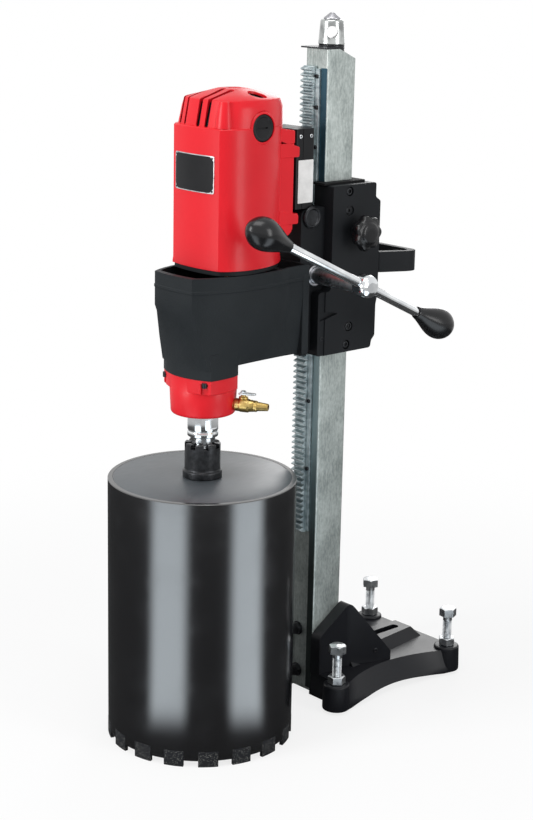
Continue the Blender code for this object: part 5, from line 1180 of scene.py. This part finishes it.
carriedOver = {
    "bronze": ["upper_guide_liner", "lower_guide_liner", "lock_pad"],
    "zinc": ["pinion_shaft", "lock_screw"],
    "oxide": ["guide_screw_upper", "guide_screw_lower"],
    "gearSteel": ["spindle_gear", "intermediate_shaft", "spindle_lower_bearing", "spindle_upper_bearing"],
    "copper": ["armature", "stator"], "carbon": ["carbon_brush_right", "carbon_brush_left"],
    "rubber": ["spindle_seal"], "plastic": ["switch_rocker", "cable_gland"],
}
for finish, nodes in carriedOver.items():
    for node in nodes:
        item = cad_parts[node]
        item.data.materials.clear()
        item.data.materials.append(finishes[finish])
        item.data.shade_smooth()
        item.data.set_sharp_from_angle(angle=radians(35))


def makeLamp(name, lamp):
    light = bpy.data.lights.new(name, "AREA")
    light.shape = "RECTANGLE"
    light.size, light.size_y = lamp["size"]
    light.energy = lamp["watts"]
    item = bpy.data.objects.new(name, light)
    item.location = lamp["from"]
    item.rotation_euler = (Vector(lamp["to"]) - Vector(lamp["from"])).to_track_quat("-Z", "Y").to_euler()
    item.visible_camera = False
    bpy.context.scene.collection.objects.link(item)
    return item


def makeStudio():
    studio = {"floorTone": 0.88, "dimFloor": 0.05, "glow": 0.80, "fadeStart": 0.5, "fadeEnd": 1.3,
              "mirrored": 0.02,
              "beyond": 0.6, "diffuseSky": 0.36, "floorHalf": 8}
    # two glowing cards painted into the floor round the bit, seen only in reflections as painted reflections: bearing
    # and half width
    cards = {"bearings": ((-80.0, 21.5), (17.0, 19.5)), "soft": 0.14, "reach": (1.45, 1.7),
             "gap": (0.16, 0.27),
             "shift": (0.0485, -0.0410), "strength": 2.8}
    world = bpy.data.worlds.new("paleStudio")
    bpy.context.scene.world = world
    world.use_nodes = True
    tree = world.node_tree
    tree.nodes.clear()
    path = tree.nodes.new("ShaderNodeLightPath")
    choice = tree.nodes.new("ShaderNodeMixShader")
    most = path.outputs["Is Camera Ray"]
    for name in ("Is Glossy Ray", "Is Transmission Ray"):
        larger = tree.nodes.new("ShaderNodeMath")
        larger.operation = "MAXIMUM"
        tree.links.new(most, larger.inputs[0])
        tree.links.new(path.outputs[name], larger.inputs[1])
        most = larger.outputs[0]
    tree.links.new(most, choice.inputs[0])
    for slot, tint, strength in ((1, (0.97, 0.98, 1.0, 1), studio["diffuseSky"]), (2, (1, 1, 1, 1), 1.0)):
        sky = tree.nodes.new("ShaderNodeBackground")
        sky.inputs[0].default_value, sky.inputs[1].default_value = tint, strength
        tree.links.new(sky.outputs[0], choice.inputs[slot])
    tree.links.new(choice.outputs[0], tree.nodes.new("ShaderNodeOutputWorld").inputs[0])

    bm = bmesh.new()
    bmesh.ops.create_grid(bm, x_segments=1, y_segments=1, size=studio["floorHalf"])
    mesh = bpy.data.meshes.new("floor")
    bm.to_mesh(mesh)
    bm.free()
    floor = bpy.data.objects.new("floor", mesh)
    bpy.context.scene.collection.objects.link(floor)
    f = Finish("paleFloor", roughness=1.0, specular=0.0)
    distance = f.node("ShaderNodeVectorMath", {"operation": "LENGTH"}, {0: f.spot()}, 1)
    camera, glossy, through = (f.node("ShaderNodeLightPath", output=output) for output in (0, 3, 6))
    # seen in reflections the floor is near black: painted shade for glossy rays only
    f.set(color=f.blend(glossy, (studio["floorTone"],) * 3, (studio["dimFloor"],) * 3))
    glow = f.node("ShaderNodeEmission", {}, {0: (1, 1, 1, 1), 1: 1.0})
    fade = studio["glow"] + (1 - studio["glow"]) * distance.between(studio["fadeStart"], studio["fadeEnd"])
    low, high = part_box("core_bit")
    east, north = (f.node("ShaderNodeSeparateXYZ", {}, {0: f.spot()},
                          k) - ((low[k] + high[k]) / 2 + cards["shift"][k])
                   for k in (0, 1))
    bearing = north.maths("ARCTAN2", north, east)
    lit = 0.0
    for middle, half in cards["bearings"]:
        aside = bearing.apart(radians(middle))
        lit = 1.0 - aside.between(radians(half) - cards["soft"], radians(half) + cards["soft"]) + lit
    away = (east * east + north * north) ** 0.5
    far = away.between(*cards["reach"])
    mirror = studio["mirrored"] + (studio["beyond"] - studio["mirrored"]) * far
    share = camera.largest(through) * fade + glossy * mirror
    mixed = f.node("ShaderNodeMixShader", {}, {0: share, 1: Wire(f, f.shader.outputs[0]), 2: glow})
    lit = glossy * lit * (1.0 - far) * away.between(*cards["gap"])
    card = f.node("ShaderNodeEmission", {}, {0: (0.86, 0.94, 1.0, 1), 1: cards["strength"]})
    mixed = f.node("ShaderNodeMixShader", {}, {0: lit, 1: mixed, 2: card})
    f.tree.links.new(mixed.socket, f.tree.nodes["Material Output"].inputs[0])
    f.material.cycles.emission_sampling = "NONE"
    mesh.materials.append(f.material)

    lamps = {
        "frontPanel": {"from": (-0.45, -2.45, 1.25), "to": (0, -0.05, 0.5), "size": (0.9, 1.6), "watts": 40},
        "sidePanel": {"from": (2.3, 0.35, 1.1), "to": (0, -0.05, 0.45), "size": (0.8, 1.6), "watts": 20},
        "topPanel": {"from": (0.3, -0.5, 2.7), "to": (0, 0, 0.4), "size": (1.3, 1.3), "watts": 22},
        "rearPanel": {"from": (-1.5, 2.1, 1.3), "to": (0, 0, 0.45), "size": (0.9, 1.6), "watts": 16},
    }
    for name, lamp in lamps.items():
        makeLamp(name, lamp)
    bpy.context.scene.view_settings.view_transform = "Standard"


def makeCamera():
    view = {"azimuth": 47.91, "pitch": 14.75, "roll": 1.08, "focal": 1818.2,
            "place": (1776.5, -1721.1, 1074.0),
            "middle": (260.05, 406.13), "frame": (533, 820), "sensor": 36}
    azimuth, pitch, roll = (radians(view[key]) for key in ("azimuth", "pitch", "roll"))
    ahead = Vector((-sin(azimuth) * cos(pitch), cos(azimuth) * cos(pitch), -sin(pitch)))
    right = Vector((cos(azimuth), sin(azimuth), 0))
    up = right.cross(ahead)
    tilted = right * cos(roll) + up * sin(roll)
    upright = up * cos(roll) - right * sin(roll)
    turn = Matrix((tilted, upright, -ahead)).transposed().to_4x4()
    lens = bpy.data.cameras.new("camera")
    (width, height), (across, down) = view["frame"], view["middle"]
    lens.sensor_fit, lens.sensor_height = "VERTICAL", view["sensor"]
    lens.lens = view["sensor"] * view["focal"] / height
    lens.shift_x, lens.shift_y = (width / 2 - across) / height, (down - height / 2) / height
    lens.clip_end = 50
    item = bpy.data.objects.new("camera", lens)
    item.matrix_world = Matrix.Translation(Vector(view["place"]) * mm + columnAxis) @ turn
    bpy.context.scene.collection.objects.link(item)
    bpy.context.scene.camera = item


makeStudio()
makeCamera()
